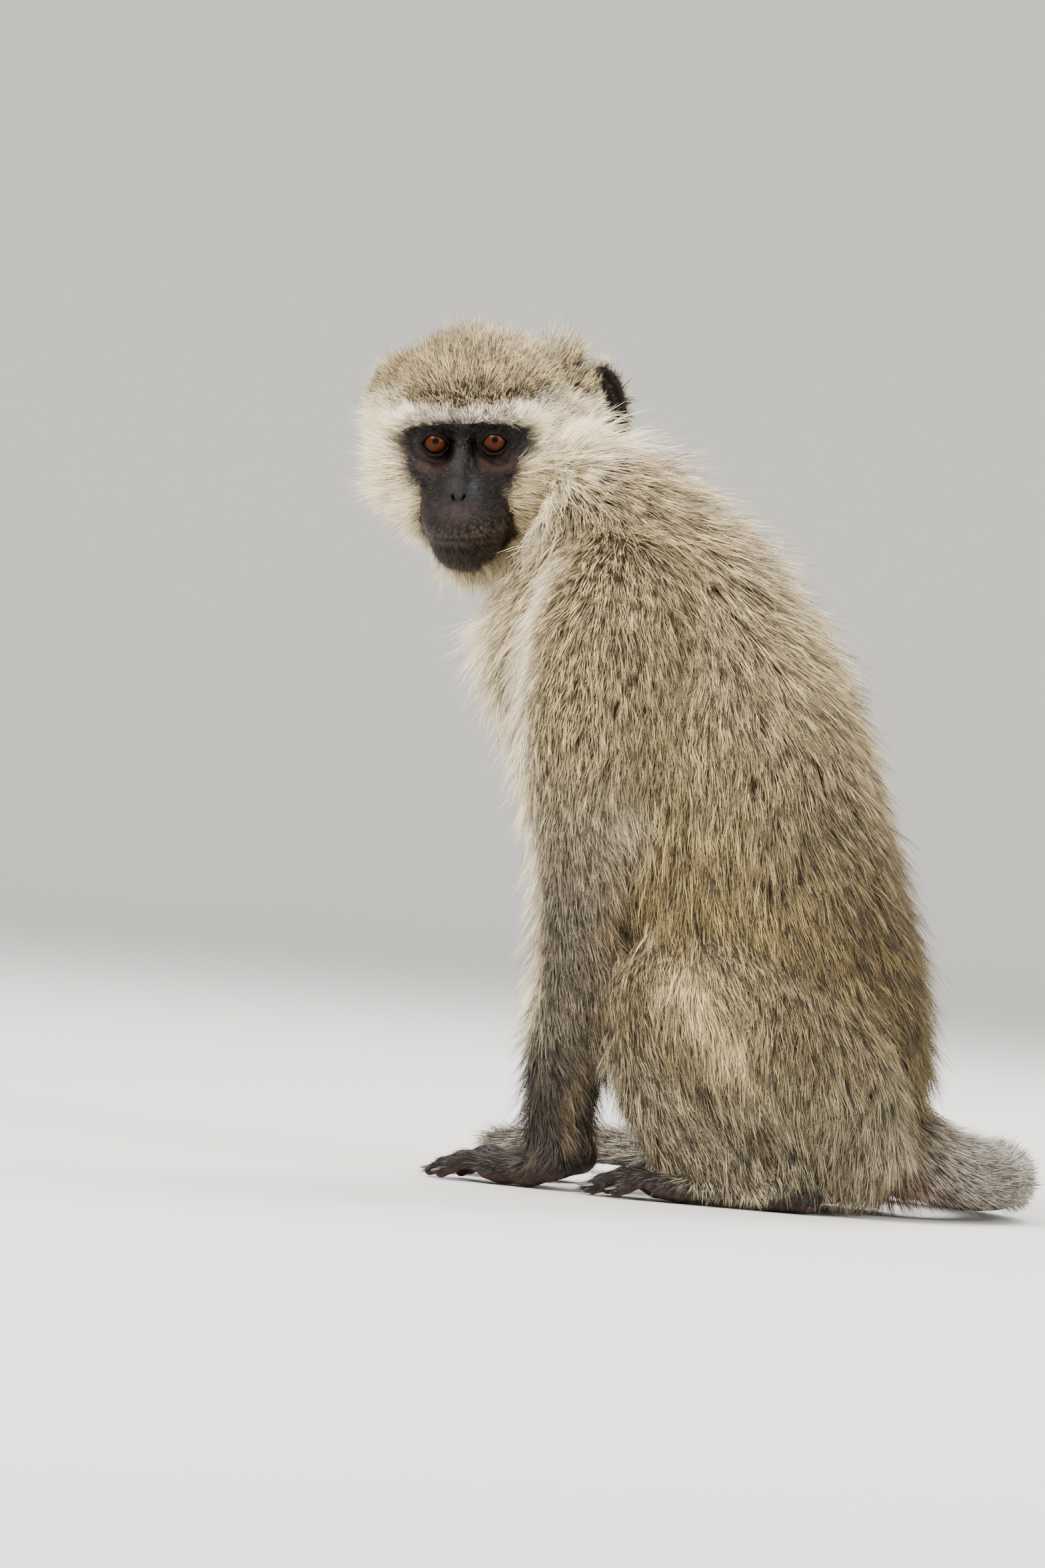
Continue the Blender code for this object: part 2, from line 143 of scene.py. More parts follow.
def joined(first: Array, second: Array, fillet: float) -> Array:
    """The union of two distance fields, with a fillet of that width where they meet."""
    near = np.maximum(fillet - np.abs(first - second), 0.0) / fillet
    return np.minimum(first, second) - near**2 * fillet / 4


def cut(field: Array, tool: Array, edge: float) -> Array:
    """A distance field less a tool's, with its new edges rounded by about that width."""
    return -joined(-field, tool, edge)


@dataclass
class Grid:
    """A block of space in which a distance field is sampled, and turned into a surface.

    Attributes:
        low: Lowest corner, in mm.
        high: Highest corner, in mm.
        step: Distance between samples, in mm.
        coarse: Number of steps between the samples of the first, rough look.
        reach: How far from the surface the fine samples go, in rough steps.
    """

    low: tuple
    high: tuple
    step: float
    coarse: int = 4
    reach: float = 1.6

    def shape(self, step: float) -> tuple:
        """Number of samples along each side at a step."""
        return tuple(int(ceil((b - a) / step)) + 1 for a, b in zip(self.low, self.high))

    def points(self, step: float) -> Array:
        """Rows of x, y, z of the samples at a step."""
        sides = [a + step * np.arange(n, dtype=np.float32) for a, n in zip(self.low, self.shape(step))]
        return np.stack(np.meshgrid(*sides, indexing="ij"), axis=-1).reshape(-1, 3)

    def sample(self, field: Callable[[Array], Array]) -> Array:
        """Samples a field, finely only near its surface.

        Args:
            field: Distance of points from the surface.

        Returns:
            A block of distances.
        """
        wide = self.step * self.coarse
        rough = field(self.points(wide)).reshape(self.shape(wide))
        shape = self.shape(self.step)
        nearest = [
            np.minimum((np.arange(count) + self.coarse // 2) // self.coarse, most - 1)
            for count, most in zip(shape, rough.shape)
        ]
        block = rough[np.ix_(*nearest)].ravel()
        near = np.abs(block) < self.reach * wide
        block[near] = field(self.points(self.step)[near])
        return block.reshape(shape)

    def surface(self, block: Array) -> tuple:
        """The surface where a block of distances is zero.

        Args:
            block: Distances, negative inside.

        Returns:
            Points in mm and the faces with four corners.
        """
        limit = 3 * self.step
        level = openvdb.FloatGrid(limit)
        level.copyFromArray(np.clip(block, -limit, limit).astype(np.float32))
        points, quads = level.convertToQuads(0.0)
        return points * self.step + np.asarray(self.low), quads[:, ::-1]


@contextmanager
def opened(mesh: Mesh) -> Iterator[bmesh.types.BMesh]:
    """Opens a mesh for editing, and writes it back.

    Args:
        mesh: The mesh.

    Yields:
        Its editable copy.
    """
    bm = bmesh.new()
    bm.from_mesh(mesh)
    yield bm
    bm.to_mesh(mesh)
    bm.free()


def in_scene(name: str, data: bpy.types.ID) -> Object:
    """Puts an object in the scene.

    Args:
        name: Its name.
        data: Its mesh, light or camera.

    Returns:
        The object.
    """
    obj = bpy.data.objects.new(name, data)
    bpy.context.scene.collection.objects.link(obj)
    return obj


def mesh_object(name: str, points: Array, faces: list | Array) -> Object:
    """Makes a smooth mesh object from points in millimetres.

    Args:
        name: Name of the object.
        points: Rows of x, y, z in mm.
        faces: Rows of corner numbers.

    Returns:
        The object, in metres, with its faces outward.
    """
    mesh = bpy.data.meshes.new(name)
    rows = faces.tolist() if isinstance(faces, Array) else faces
    mesh.from_pydata((np.asarray(points, float) * MM).tolist(), [], rows)
    mesh.update()
    with opened(mesh) as bm:
        if bm.calc_volume(signed=True) < 0:
            bmesh.ops.reverse_faces(bm, faces=bm.faces)
    mesh.shade_smooth()
    return in_scene(name, mesh)


def apply_modifiers(obj: Object) -> Object:
    """Replaces an object's mesh by what its modifiers make of it.

    Args:
        obj: The object.

    Returns:
        The same object.
    """
    graph = bpy.context.evaluated_depsgraph_get()
    made = bpy.data.meshes.new_from_object(obj.evaluated_get(graph))
    obj.modifiers.clear()
    obj.data = made
    return obj


def thinned(obj: Object, share: float, group: str = "") -> Object:
    """Takes triangles away where they tell least.

    Args:
        obj: The object.
        share: Share of its triangles to keep.
        group: Its vertex group that is thinned less, if any.

    Returns:
        The same object.
    """
    thin = obj.modifiers.new("thin", "DECIMATE")
    thin.ratio = min(1.0, share)
    thin.vertex_group = group
    thin.invert_vertex_group = True
    thin.vertex_group_factor = 30.0
    return apply_modifiers(obj)


def move(mesh: Mesh, matrix: Matrix) -> None:
    """Moves a mesh in metres by a matrix in millimetres, and keeps its faces outward.

    Args:
        mesh: The mesh.
        matrix: Where it goes.
    """
    mesh.transform(Matrix.Scale(MM, 4) @ matrix @ Matrix.Scale(1 / MM, 4))
    if matrix.determinant() < 0:
        mesh.flip_normals()


def gathered(items: bpy.types.bpy_prop_collection, name: str, width: int, kind: type = np.float32) -> Array:
    """Reads one property of all of a mesh's items.

    Args:
        items: Its vertices, edges, triangles or map places.
        name: Name of the property.
        width: How many numbers each item has.
        kind: Their type.

    Returns:
        A row for each item.
    """
    found = np.empty(len(items) * width, kind)
    items.foreach_get(name, found)
    return found.reshape(-1, width)


def store(mesh: Mesh, name: str, values: object, kind: str = "FLOAT") -> None:
    """Stores an attribute on a mesh's points.

    Args:
        mesh: The mesh.
        name: Name of the attribute.
        values: A number or a row for each point.
        kind: Its Blender type.
    """
    rows = np.asarray(values, float)
    if kind == "FLOAT_COLOR":
        rows = np.column_stack((rows, np.ones(len(rows))))
    label = {"FLOAT": "value", "FLOAT_VECTOR": "vector", "FLOAT_COLOR": "color"}[kind]
    mesh.attributes.new(name, kind, "POINT").data.foreach_set(label, rows.astype(np.float32).ravel())


def positions(mesh: Mesh) -> Array:
    """Rows of x, y, z of a mesh's vertices, in mm."""
    return gathered(mesh.vertices, "co", 3) / MM


def node_mesh(names: list) -> tuple:
    """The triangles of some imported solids.

    Args:
        names: Node names.

    Returns:
        Points in mm, triangles, and for each triangle the number of its node in the list.
    """
    points, faces, owners, count = [], [], [], 0
    for number, name in enumerate(names):
        mesh = frame["nodes"][name].data
        mesh.calc_loop_triangles()
        points.append(positions(mesh))
        faces.append(gathered(mesh.loop_triangles, "vertices", 3, np.int32) + count)
        owners.append(np.full(len(mesh.loop_triangles), number))
        count += len(mesh.vertices)
    return np.concatenate(points), np.concatenate(faces), np.concatenate(owners)


def head_place(nod: float = 10.0) -> Matrix:
    """Finds where the head is. Its own frame has +X to the animal's left, +Y up and +Z out of the face.

    Args:
        nod: Degrees that the face is turned down.

    Returns:
        What takes the head's own frame to the model's, both in mm.
    """
    left, right = (sum(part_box(f"eye_{side}"), Vector()) / 2 / MM for side in ("left", "right"))
    across = (left - right).normalized()
    out = across.cross(Vector((0, 0, 1))).normalized()
    level = Matrix((across, out.cross(across), out)).transposed().to_4x4()
    return Matrix.Translation((left + right) / 2) @ level @ Matrix.Rotation(radians(nod), 4, "X")


@dataclass
class HeadShape:
    """The bare shape of the head, under its hair, in its own frame: a field of distances.

    Attributes:
        eye_apart: Half the distance between the eyes.
        eye_radius: Radius of an eyeball.
        lid: Thickness of a lid.
        opening: Half width, height above and height below of the gap between the lids.
        slant: How far the outer corner of an eye stands above the inner one, as a slope.
        aside: How far both gaps are drawn to the animal's left, where it looks.
        lean: How far the muzzle is pushed to its left, as a share of its reach.
        mouth_height: Height of the line between the lips.
        ear_middle: Middle of the left ear.
        ear_flare: Degrees that an ear is turned out from the side of the head.
        room: Lowest and highest corner of the head.
        step: Distance between samples.
        kept: Share of the triangles that is kept.
    """

    eye_apart: float = 14.6
    eye_radius: float = 9.6
    lid: float = 1.3
    opening: tuple = (6.5, 4.2, 4.7)
    slant: float = 0.05
    aside: float = 1.1
    lean: float = 0.045
    mouth_height: float = -42.7
    ear_middle: tuple = (52.0, 7.5, -73.5)
    ear_flare: float = 38.0
    room: tuple = ((-80, -70, -104), (80, 54, 40))
    step: float = 0.8
    kept: float = 0.42

    MASSES = (  # centre, radii and fillet; a mass off the midline stands for both sides
        ((0, 8, -38), (38.5, 39.5, 47), 9),  # cranium
        ((29, 10, -60), (25, 25, 26), 9),  # back of the skull
        ((22.5, -13, -25), (22, 25, 24), 9),  # jaw muscle
        ((14.5, -32, -13), (17, 19, 20), 9),  # angle of the jaw
        ((0, -48, -18), (18, 18, 24), 9),  # throat
        ((0, -4, -10), (31, 28, 15), 9),  # front of the face
        ((17.5, -12, -2), (12.5, 8.5, 9.5), 7),  # cheekbone
        ((13, 11.5, 0.5), (15, 4.6, 9), 6),  # brow
        ((0, 10, 1), (9, 4.5, 7), 6),  # between the brows
        ((0, -30, 8), (21, 19.5, 19), 8),  # jaws
        ((0, -36, 19), (17.8, 12, 15.2), 7),  # lips
        ((0, -48, 11), (16.5, 13.5, 14), 7),  # chin
        ((0, -5, 4), (5.2, 13, 7), 6),  # bridge of the nose
        ((0, -14, 9), (7.4, 9, 8.4), 6),  # its lower part
        ((0, -19.2, 15.2), (6.9, 6.0, 9.2), 3),  # tip
        ((4.6, -21.8, 14.5), (3.4, 3.9, 6.2), 2.5),  # wing of a nostril
    )
    CREASES = (  # height above the lids' edge, width, depth, and whether it is on the upper lid
        (3.4, 0.8, 0.75, True),
        (3.0, 0.9, 0.5, False),
        (6.0, 1.3, 0.5, False),
    )
    FOLDS = (  # both ends, radius, depth and width
        ((12.5, -20.0, 14.0), (20.5, -33.0, 12.0), 0.4, 0.7, 2.0),  # from the nose to the mouth
        ((6.5, -9.5, 8.0), (21.0, -10.5, 6.0), 0.3, 0.5, 1.5),  # across the cheek
        ((5.2, 2.0, 4.0), (7.0, -15.0, 8.0), 0.3, 1.1, 2.0),  # beside the bridge
    )

    def opening_edge(self, away: Array) -> Array:
        """How far points are outside the gap between the lids, seen from in front.

        Args:
            away: Points from the middle of an eyeball, with x outward.

        Returns:
            Distances in mm, negative in the gap.
        """
        half, above, below = self.opening
        across = away[:, 0]
        height = away[:, 1] - self.slant * across
        curve = np.maximum(1 - (np.abs(across) / half) ** 2.4, -0.6)
        return np.maximum(height - above * curve, -below * curve - height)

    def lids(self, points: Array, side: Array, field: Array) -> Array:
        """Sinks the sockets, lays lids over the eyeballs and opens them.

        Args:
            points: Points with x taken as positive.
            side: Sign of each point's own x.
            field: Distances so far.

        Returns:
            Distances with the lids.
        """
        away = points - np.float32((self.eye_apart, 0, 0))
        reach = np.linalg.norm(away, axis=1)
        socket = np.linalg.norm(away - np.float32((1.0, -0.5, 9.5)), axis=1) - 11.2
        field = cut(field, socket, 5.0)
        outer = self.eye_radius + self.lid
        field = joined(field, reach - outer, 3.2)
        drawn = away - np.stack((self.aside * side, 0 * side, 0 * side), 1)
        edge = self.opening_edge(drawn)
        ahead = smooth(0, 4, away[:, 2])
        on_lid = ahead * bell((reach - outer, 3.0))
        field = field - 0.45 * on_lid * bell((edge - 0.7, 0.8))
        upper = smooth(-1, 1.5, away[:, 1])
        for place, width, depth, above in self.CREASES:
            share = upper if above else 1 - upper
            field = field + depth * on_lid * share * bell((edge - place, width))
        gap = np.maximum(edge, -away[:, 2])
        return cut(field, gap, 0.6)

    def muzzle(self, points: Array, field: Array) -> Array:
        """Opens the nostrils, draws the closed mouth with the groove over it, and lays the folds.

        Args:
            points: Points with x taken as positive.
            field: Distances so far.

        Returns:
            Distances with the nose and mouth.
        """
        x, y, z = points.T
        slit = capsule(points * np.float32((1, 1, 0)), (1.7, -25.4, 0), (3.1, -23.2, 0), 0.3, 0.6)
        field = cut(field, np.maximum(slit, np.maximum(-3.0 - field, 8.0 - z)), 0.6)
        beside = capsule(points, (7.2, -8.0, 9.5), (10.4, -24.0, 17.0), 1.2, 2.2)
        field = field + 0.8 * bell((np.maximum(beside, 0), 2.4))
        ahead = smooth(4, 14, z)
        line = y - self.mouth_height - 0.003 * x**2
        reach = 1 - smooth(9, 18, x)
        deep = 0.35 + 1.3 * (1 - smooth(3, 8, x))
        field = field + deep * ahead * reach * bell((line, 0.55))
        field = field - 0.45 * ahead * reach * bell((line + 2.0, 1.5))
        field = field - 0.3 * ahead * reach * bell((line - 1.8, 1.6))
        field = field + 0.4 * ahead * bell((line + 5.6, 1.8)) * (1 - smooth(8, 15, x))
        groove = smooth(-42, -38, y) * (1 - smooth(-31, -27, y))
        field = field + 0.2 * ahead * groove * bell((x, 1.2))
        for start, end, radius, depth, width in self.FOLDS:
            fold = capsule(points, start, end, radius, radius)
            field = field + depth * bell((np.maximum(fold, 0), width))
        return field

    def ear_turn(self) -> Array:
        """Rows of the axes of the left ear's own frame, with +Z out of its hollow."""
        across, out = (part(radians(self.ear_flare)) for part in (cos, sin))
        return np.float32(((across, 0, -out), (0, 1, 0), (out, 0, across)))

    def in_ear(self, points: Array) -> Array:
        """Takes points of the head, with x as positive, to an ear's own frame."""
        return (points - np.float32(self.ear_middle)) @ self.ear_turn().T

    def ear_dish(self, points: Array) -> tuple:
        """Finds where points are on an ear.

        Args:
            points: Points of the head, with x as positive.

        Returns:
            How far out they are, 1 at its rim, and their height over its dished sheet in mm.
        """
        x, y, z = self.in_ear(points).T
        reach = np.sqrt((x / 12.4) ** 2 + ((y + 0.02 * x * x) / 19.0) ** 2)
        return reach, z - 4.2 * reach**2 + 2.2

    def ear(self, points: Array, field: Array) -> Array:
        """Adds the ear: an oval dish with a rolled rim, an inner ridge and a small lobe in front.

        Args:
            points: Points with x taken as positive.
            field: Distances so far.

        Returns:
            Distances with the ears.
        """
        own = self.in_ear(points)
        reach, dish = self.ear_dish(points)
        flat = (reach - 1) * 13.0
        rim = np.sqrt((flat + 0.9) ** 2 + (dish - 0.7) ** 2) - 1.5
        plate = np.maximum(np.abs(dish) - 0.9, flat)
        ridge = np.sqrt(((reach - 0.58) * 13.0) ** 2 + (dish - 0.8) ** 2) - 1.1
        ridge = np.where(own[:, 0] > -4, ridge, OUTSIDE)
        whole = joined(joined(plate, rim, 1.2), ridge, 1.6)
        tragus = capsule(own, (-9.5, -3.0, 0.5), (-8.0, -8.0, 2.0), 2.0, 1.6)
        stalk = capsule(own, (-6.0, -2.0, -2.0), (-20.0, -3.0, -4.0), 6.5, 9.0)
        whole = joined(joined(whole, stalk, 4.0), tragus, 2.0)
        return joined(field, whole, 3.0)

    def field(self, points: Array) -> Array:
        """Distance of points from the head's skin.

        Args:
            points: Rows of x, y, z in the head's own frame.

        Returns:
            Distances in mm, negative inside.
        """
        shifted = points - np.maximum(points[:, 2:], 0) * np.float32((self.lean, 0, 0))
        half = np.abs(shifted * np.float32((1, 0, 0))) + shifted * np.float32((0, 1, 1))
        found = np.full(len(half), OUTSIDE, np.float32)
        for centre, radii, fillet in self.MASSES:
            found = joined(found, ellipsoid(half, centre, radii), fillet)
        found = self.lids(half, np.sign(shifted[:, 0]), found)
        return self.ear(half, self.muzzle(half, found))

    def build(self, place: Matrix) -> Object:
        """Makes the head's surface, fine on the face and thinner under the hair.

        Args:
            place: Takes the head's own frame to the model's, in mm.

        Returns:
            The head's mesh object.
        """
        grid = Grid(*self.room, self.step)
        points, quads = grid.surface(grid.sample(self.field))
        face = smooth(-14, -2, points[:, 2]) * (1 - smooth(36, 42, np.abs(points[:, 0])))
        ears = smooth(40, 44, np.abs(points[:, 0]))
        obj = mesh_object("head_skin", points, quads)
        group = obj.vertex_groups.new(name="fine")
        for number, weight in enumerate(np.maximum(face, 0.6 * ears)):
            if weight > 0:
                group.add([number], float(weight), "REPLACE")
        thinned(obj, self.kept, group.name)
        move(obj.data, place)
        return obj


@dataclass(frozen=True)
class Fur:
    """The coat of one part of the body.

    Attributes:
        length: Length of its hair, in mm.
        lift: Angle at which the hair leaves the skin, in degrees.
        depth: How far the skin lies under the tips of the coat, in mm.
    """

    length: float
    lift: float
    depth: float


FUR = {
    "head": Fur(18, 40, 16),
    "ear": Fur(5, 25, 2),
    "neck": Fur(27, 25, 7.5),
    "trunk": Fur(26, 23, 7),
    "upper_arm": Fur(21, 24, 5.5),
    "forearm": Fur(17, 24, 4.5),
    "hand": Fur(7, 18, 6),
    "thigh": Fur(24, 23, 6.5),
    "shank": Fur(18, 24, 5.5),
    "foot": Fur(7, 18, 6),
    "tail_base": Fur(17, 24, 5.5),
    "tail_upper": Fur(14, 24, 4.5),
    "tail_lower": Fur(13, 24, 4),
    "tail_tip": Fur(15, 24, 4),
}
FLESH = [name for name in frame["nodes"] if not name.startswith("eye")]
TAIL = ("tail_base", "tail_upper", "tail_lower", "tail_tip")


def kind_of(node: str) -> str:
    """The part of the body that a node is, without its side."""
    return node.removesuffix("_left").removesuffix("_right")


def nearest_solid(points: Array) -> Array:
    """Finds the solid of flesh that is nearest to each point.

    Args:
        points: Rows of x, y, z in mm.

    Returns:
        For each, the solid's number in the list of them.
    """
    corners, faces, owners = node_mesh(FLESH)
    tree = BVHTree.FromPolygons(corners.tolist(), faces.tolist())
    return owners[[tree.find_nearest(point)[2] for point in points]]


@dataclass
class Torso:
    """The skin of the body under the coat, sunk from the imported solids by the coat's depth.

    Attributes:
        rough: Distance between samples when the solids are made one, in mm.
        step: Distance between samples of the skin, in mm.
        gap: Widest gap between solids that is closed, in mm.
        deepest: Most that the skin lies under the solids, in mm.
        wide: Distance between samples of the coat's depth, in mm.
        triangles: Number of triangles to keep.
    """

    rough: float = 2.0
    step: float = 2.4
    gap: float = 5.0
    deepest: float = 19.0
    wide: float = 8.0
    triangles: int = 42000

    def depth_block(self, low: Array, high: Array) -> Array:
        """Coat depths on a wide grid, blurred so that they change slowly.

        Args:
            low: Lowest corner in mm.
            high: Highest corner in mm.

        Returns:
            The block of depths.
        """
        grid = Grid(tuple(low), tuple(high), self.wide)
        depths = np.array([FUR[kind_of(name)].depth for name in FLESH], np.float32)
        block = depths[nearest_solid(grid.points(self.wide))]
        return blurred(blurred(block.reshape(grid.shape(self.wide))))

    def build(self) -> Object:
        """Makes the body's skin from the solids.

        Returns:
            The skin without ears, and with the head and paws only roughly in place.
        """
        names = [name for name in FLESH if not name.startswith("ear")]
        corners, faces, _ = node_mesh(names)
        level = openvdb.FloatGrid.createLevelSetFromPolygons(
            corners / self.rough, triangles=faces.astype(np.uint32), halfWidth=4
        )
        points, quads = level.convertToQuads(self.gap / self.rough)
        points = points * self.rough
        depth = self.deepest + self.gap
        solid = openvdb.FloatGrid.createLevelSetFromPolygons(
            points / self.step, quads=quads, halfWidth=ceil(depth / self.step)
        )
        low = np.floor(points.min(axis=0) / self.step).astype(int) - 2
        high = np.ceil(points.max(axis=0) / self.step).astype(int) + 2
        block = np.full(high - low, 1.0, np.float32)
        solid.copyToArray(block, ijk=tuple(int(n) for n in low))
        block *= self.step
        depths = self.depth_block(low * self.step, high * self.step)
        block += self.gap + stretched(depths, self.wide / self.step, block.shape)
        grid = Grid(tuple(low * self.step), tuple(high * self.step), self.step)
        points, quads = grid.surface(blurred(blurred(block)))
        obj = mesh_object("torso_skin", points, quads)
        return thinned(obj, self.triangles / (2 * len(obj.data.polygons)))


def blurred(block: Array) -> Array:
    """Averages a block of numbers with its neighbours along each side.

    Args:
        block: The numbers.

    Returns:
        Their averages.
    """
    for axis in range(3):
        before = np.roll(block, 1, axis)
        after = np.roll(block, -1, axis)
        block = (before + 2 * block + after) / 4
    return block


def stretched(block: Array, factor: float, shape: tuple) -> Array:
    """Reads a wide block of numbers at a finer step, straight between its samples.

    Args:
        block: Numbers on the wide grid.
        factor: How many fine steps there are in a wide one.
        shape: Number of fine samples along each side.

    Returns:
        The fine block.
    """
    for axis, count in enumerate(shape):
        place = np.minimum(np.arange(count) / factor, block.shape[axis] - 1.001)
        first = place.astype(int)
        sides = [-1 if side == axis else 1 for side in range(3)]
        share = (place - first).astype(np.float32).reshape(sides)
        block = np.take(block, first, axis) * (1 - share) + np.take(block, first + 1, axis) * share
    return block


@dataclass
class Paw:
    """A hand or a foot, flat on the ground, in its own frame: digits towards -Y, the animal's left.

    Attributes:
        name: Its name.
        anchor: Where its own frame stands in the model, in mm.
        yaw: Degrees that it is turned about the upright axis.
        digits: For each finger or toe, with the thumb or big toe last: the place of its knuckle across
            and along the paw, its length from there, all in mm, and its turn from straight ahead in
            degrees.
        girth: Radius of a digit at its knuckle, in mm.
        spine: Middles of the paw from the wrist or heel to the knuckles, in mm.
        flank: Half widths and half heights there, in mm.
        limb: Where the limb enters, and where it ends above, in mm.
        limb_radius: Radius of the limb there, in mm.
        knuckle: Height of the knuckles in mm.
        arch: Height of the next joints in mm.
        step: Distance between samples in mm.
        triangles: Number of triangles to keep.
    """

    name: str
    anchor: tuple
    yaw: float
    digits: tuple
    girth: float
    spine: tuple
    flank: tuple
    limb: tuple
    limb_radius: float
    knuckle: float = 8.6
    arch: float = 10.6
    step: float = 0.9
    triangles: int = 8500

    JOINTS = (0.0, 0.42, 0.74, 0.95)  # how far along a digit its joints are

    def chains(self) -> list:
        """Finds the middles of each digit's joints, from the knuckle to the tip.

        Returns:
            Four rows of x, y, z for each digit.
        """
        heights = (self.knuckle, self.arch, 0.5 * self.arch + 1.4, 0.68 * self.girth + 0.4)
        chains = []
        for across, along, length, spread in self.digits:
            turn = radians(spread)
            way = np.array((sin(turn), -cos(turn), 0.0)) * length
            start = np.array((across, along, 0.0))
            chains.append(np.array([start + way * s + (0, 0, h) for s, h in zip(self.JOINTS, heights)]))
        return chains

    def field(self, points: Array) -> Array:
        """Distance of points from the paw's skin.

        Args:
            points: Rows of x, y, z in its own frame.

        Returns:
            Distances in mm, negative inside.
        """
        found = capsule(points, self.limb[0], self.limb[1], self.limb_radius, self.limb_radius)
        rows = list(zip(self.spine, self.flank))
        for (start, size), (end, other) in zip(rows, rows[1:]):
            flat = np.float32((size[1] / size[0], 1, 1))
            rod = capsule(points * flat, np.array(start) * flat, np.array(end) * flat, size[1], other[1])
            found = joined(found, rod, 5.0)
        for number, chain in enumerate(self.chains()):
            thin = 0.9 if number == len(self.digits) - 1 else 1.0
            root = np.array(self.spine[0]) * (0.6, 0.4, 0.9) + chain[0] * (0.4, 0.6, 0.0)
            bone = capsule(points, root, chain[0], 0.8 * self.girth, 1.04 * self.girth * thin)
            found = joined(found, bone, 4.0)
            sizes = self.girth * thin * np.array((1.04, 0.92, 0.82, 0.66))
            finger = np.full(len(points), OUTSIDE, np.float32)
            for first, second, thick, fine in zip(chain, chain[1:], sizes, sizes[1:]):
                finger = joined(finger, capsule(points, first, second, thick, fine), 1.2)
            for joint, size in zip(chain[1:3], sizes[1:3]):
                knob = np.linalg.norm(points - np.float32(joint), axis=1) - 1.05 * size
                finger = joined(finger, knob, 1.0)
            found = joined(found, finger, 1.8)
        return cut(found, points[:, 2] - 0.3, 1.0)

    def to_model(self, side: int) -> Matrix:
        """Takes the paw's own frame to the model's, in mm, on one side of the animal."""
        mirror = Matrix.Diagonal((side, 1, 1, 1))
        return mirror @ Matrix.Translation(self.anchor) @ Matrix.Rotation(radians(self.yaw), 4, "Z")

    def build(self) -> list:
        """Makes the skins of both paws.

        Returns:
            Their two objects.
        """
        ends = np.array([chain[-1] for chain in self.chains()])
        low = np.append(ends.min(axis=0)[:2] - 9, -2.0)
        low[0] = min(low[0], -22.0)
        high = np.array((max(24.0, ends[:, 0].max() + 9), 26.0, self.limb[1][2] + self.limb_radius + 3))
        grid = Grid(tuple(low), tuple(high), self.step)
        points, quads = grid.surface(grid.sample(self.field))
        paws = []
        for side in BOTH:
            obj = thinned(mesh_object(f"{self.name}_skin", points, quads), self.triangles / (2 * len(quads)))
            move(obj.data, self.to_model(side))
            paws.append(obj)
        return paws


HAND = Paw(
    name="hand",
    anchor=(50, -110, 0),
    yaw=-24,
    digits=(
        *((-9.5, -30, 29, -9), (-3.2, -33, 34, -2), (3.6, -32, 32, 5), (10, -28, 24, 13)),
        (-13, -12, 20, -42),
    ),
    girth=4.0,
    spine=((0, 2, 12.5), (0, -10, 8.6), (0, -24, 7.6), (0, -31, 6.8)),
    flank=((8.2, 8.2), (11, 7.2), (13, 6.2), (12, 5)),
    limb=((0, 1, 14), (1, -2, 46)),
    limb_radius=7.6,
)
FOOT = Paw(
    name="foot",
    anchor=(57, 14, 0),
    yaw=3,
    digits=(
        *((-8.5, -68, 27, -6), (-2.5, -73, 31, -1), (4, -72, 29, 4), (10.5, -66, 23, 9)),
        (-12, -38, 27, -32),
    ),
    girth=4.4,
    spine=((0, 2, 8.8), (0, -14, 9.8), (-1, -36, 9.2), (0, -58, 7.8), (1, -69, 6.6)),
    flank=((8.4, 8.2), (10, 9), (12, 8.2), (13.2, 6.6), (12, 5.2)),
    limb=((0, -4, 14), (-2, -10, 34)),
    limb_radius=8.6,
)


def union(base: Object, others: list) -> Object:
    """Makes one closed mesh of several that overlap.

    Args:
        base: The object that becomes all of them.
        others: The other objects, which are removed.

    Returns:
        The base.
    """
    for other in others:
        boolean = base.modifiers.new("union", "BOOLEAN")
        boolean.operation = "UNION"
        boolean.solver = "MANIFOLD"
        boolean.object = other
    apply_modifiers(base)
    for other in others:
        bpy.data.objects.remove(other)
    return base


def linear(value: str, *alpha: float) -> tuple:
    """Turns a colour such as #8c7b6a to linear red, green and blue, with the opacity that is given."""
    shares = (int(value[i : i + 2], 16) / 255 for i in (1, 3, 5))
    return (*(s / 12.92 if s <= 0.04045 else ((s + 0.055) / 1.055) ** 2.4 for s in shares), *alpha)


def ripple(points: Array, size: float, seed: int) -> Array:
    """Slow waves over a surface, roughly from -1 to 1.

    Args:
        points: Rows of x, y, z in mm.
        size: Length of a wave in mm.
        seed: Which waves.

    Returns:
        One number for each point.
    """
    rng = np.random.default_rng(seed)
    total = np.zeros(len(points))
    for _ in range(7):
        way = unit(rng.normal(size=(1, 3)))[0]
        total += np.sin(points @ way * (2 * pi / size) * rng.uniform(0.6, 1.6) + rng.uniform(0, 6.3))
    return total / 3.5


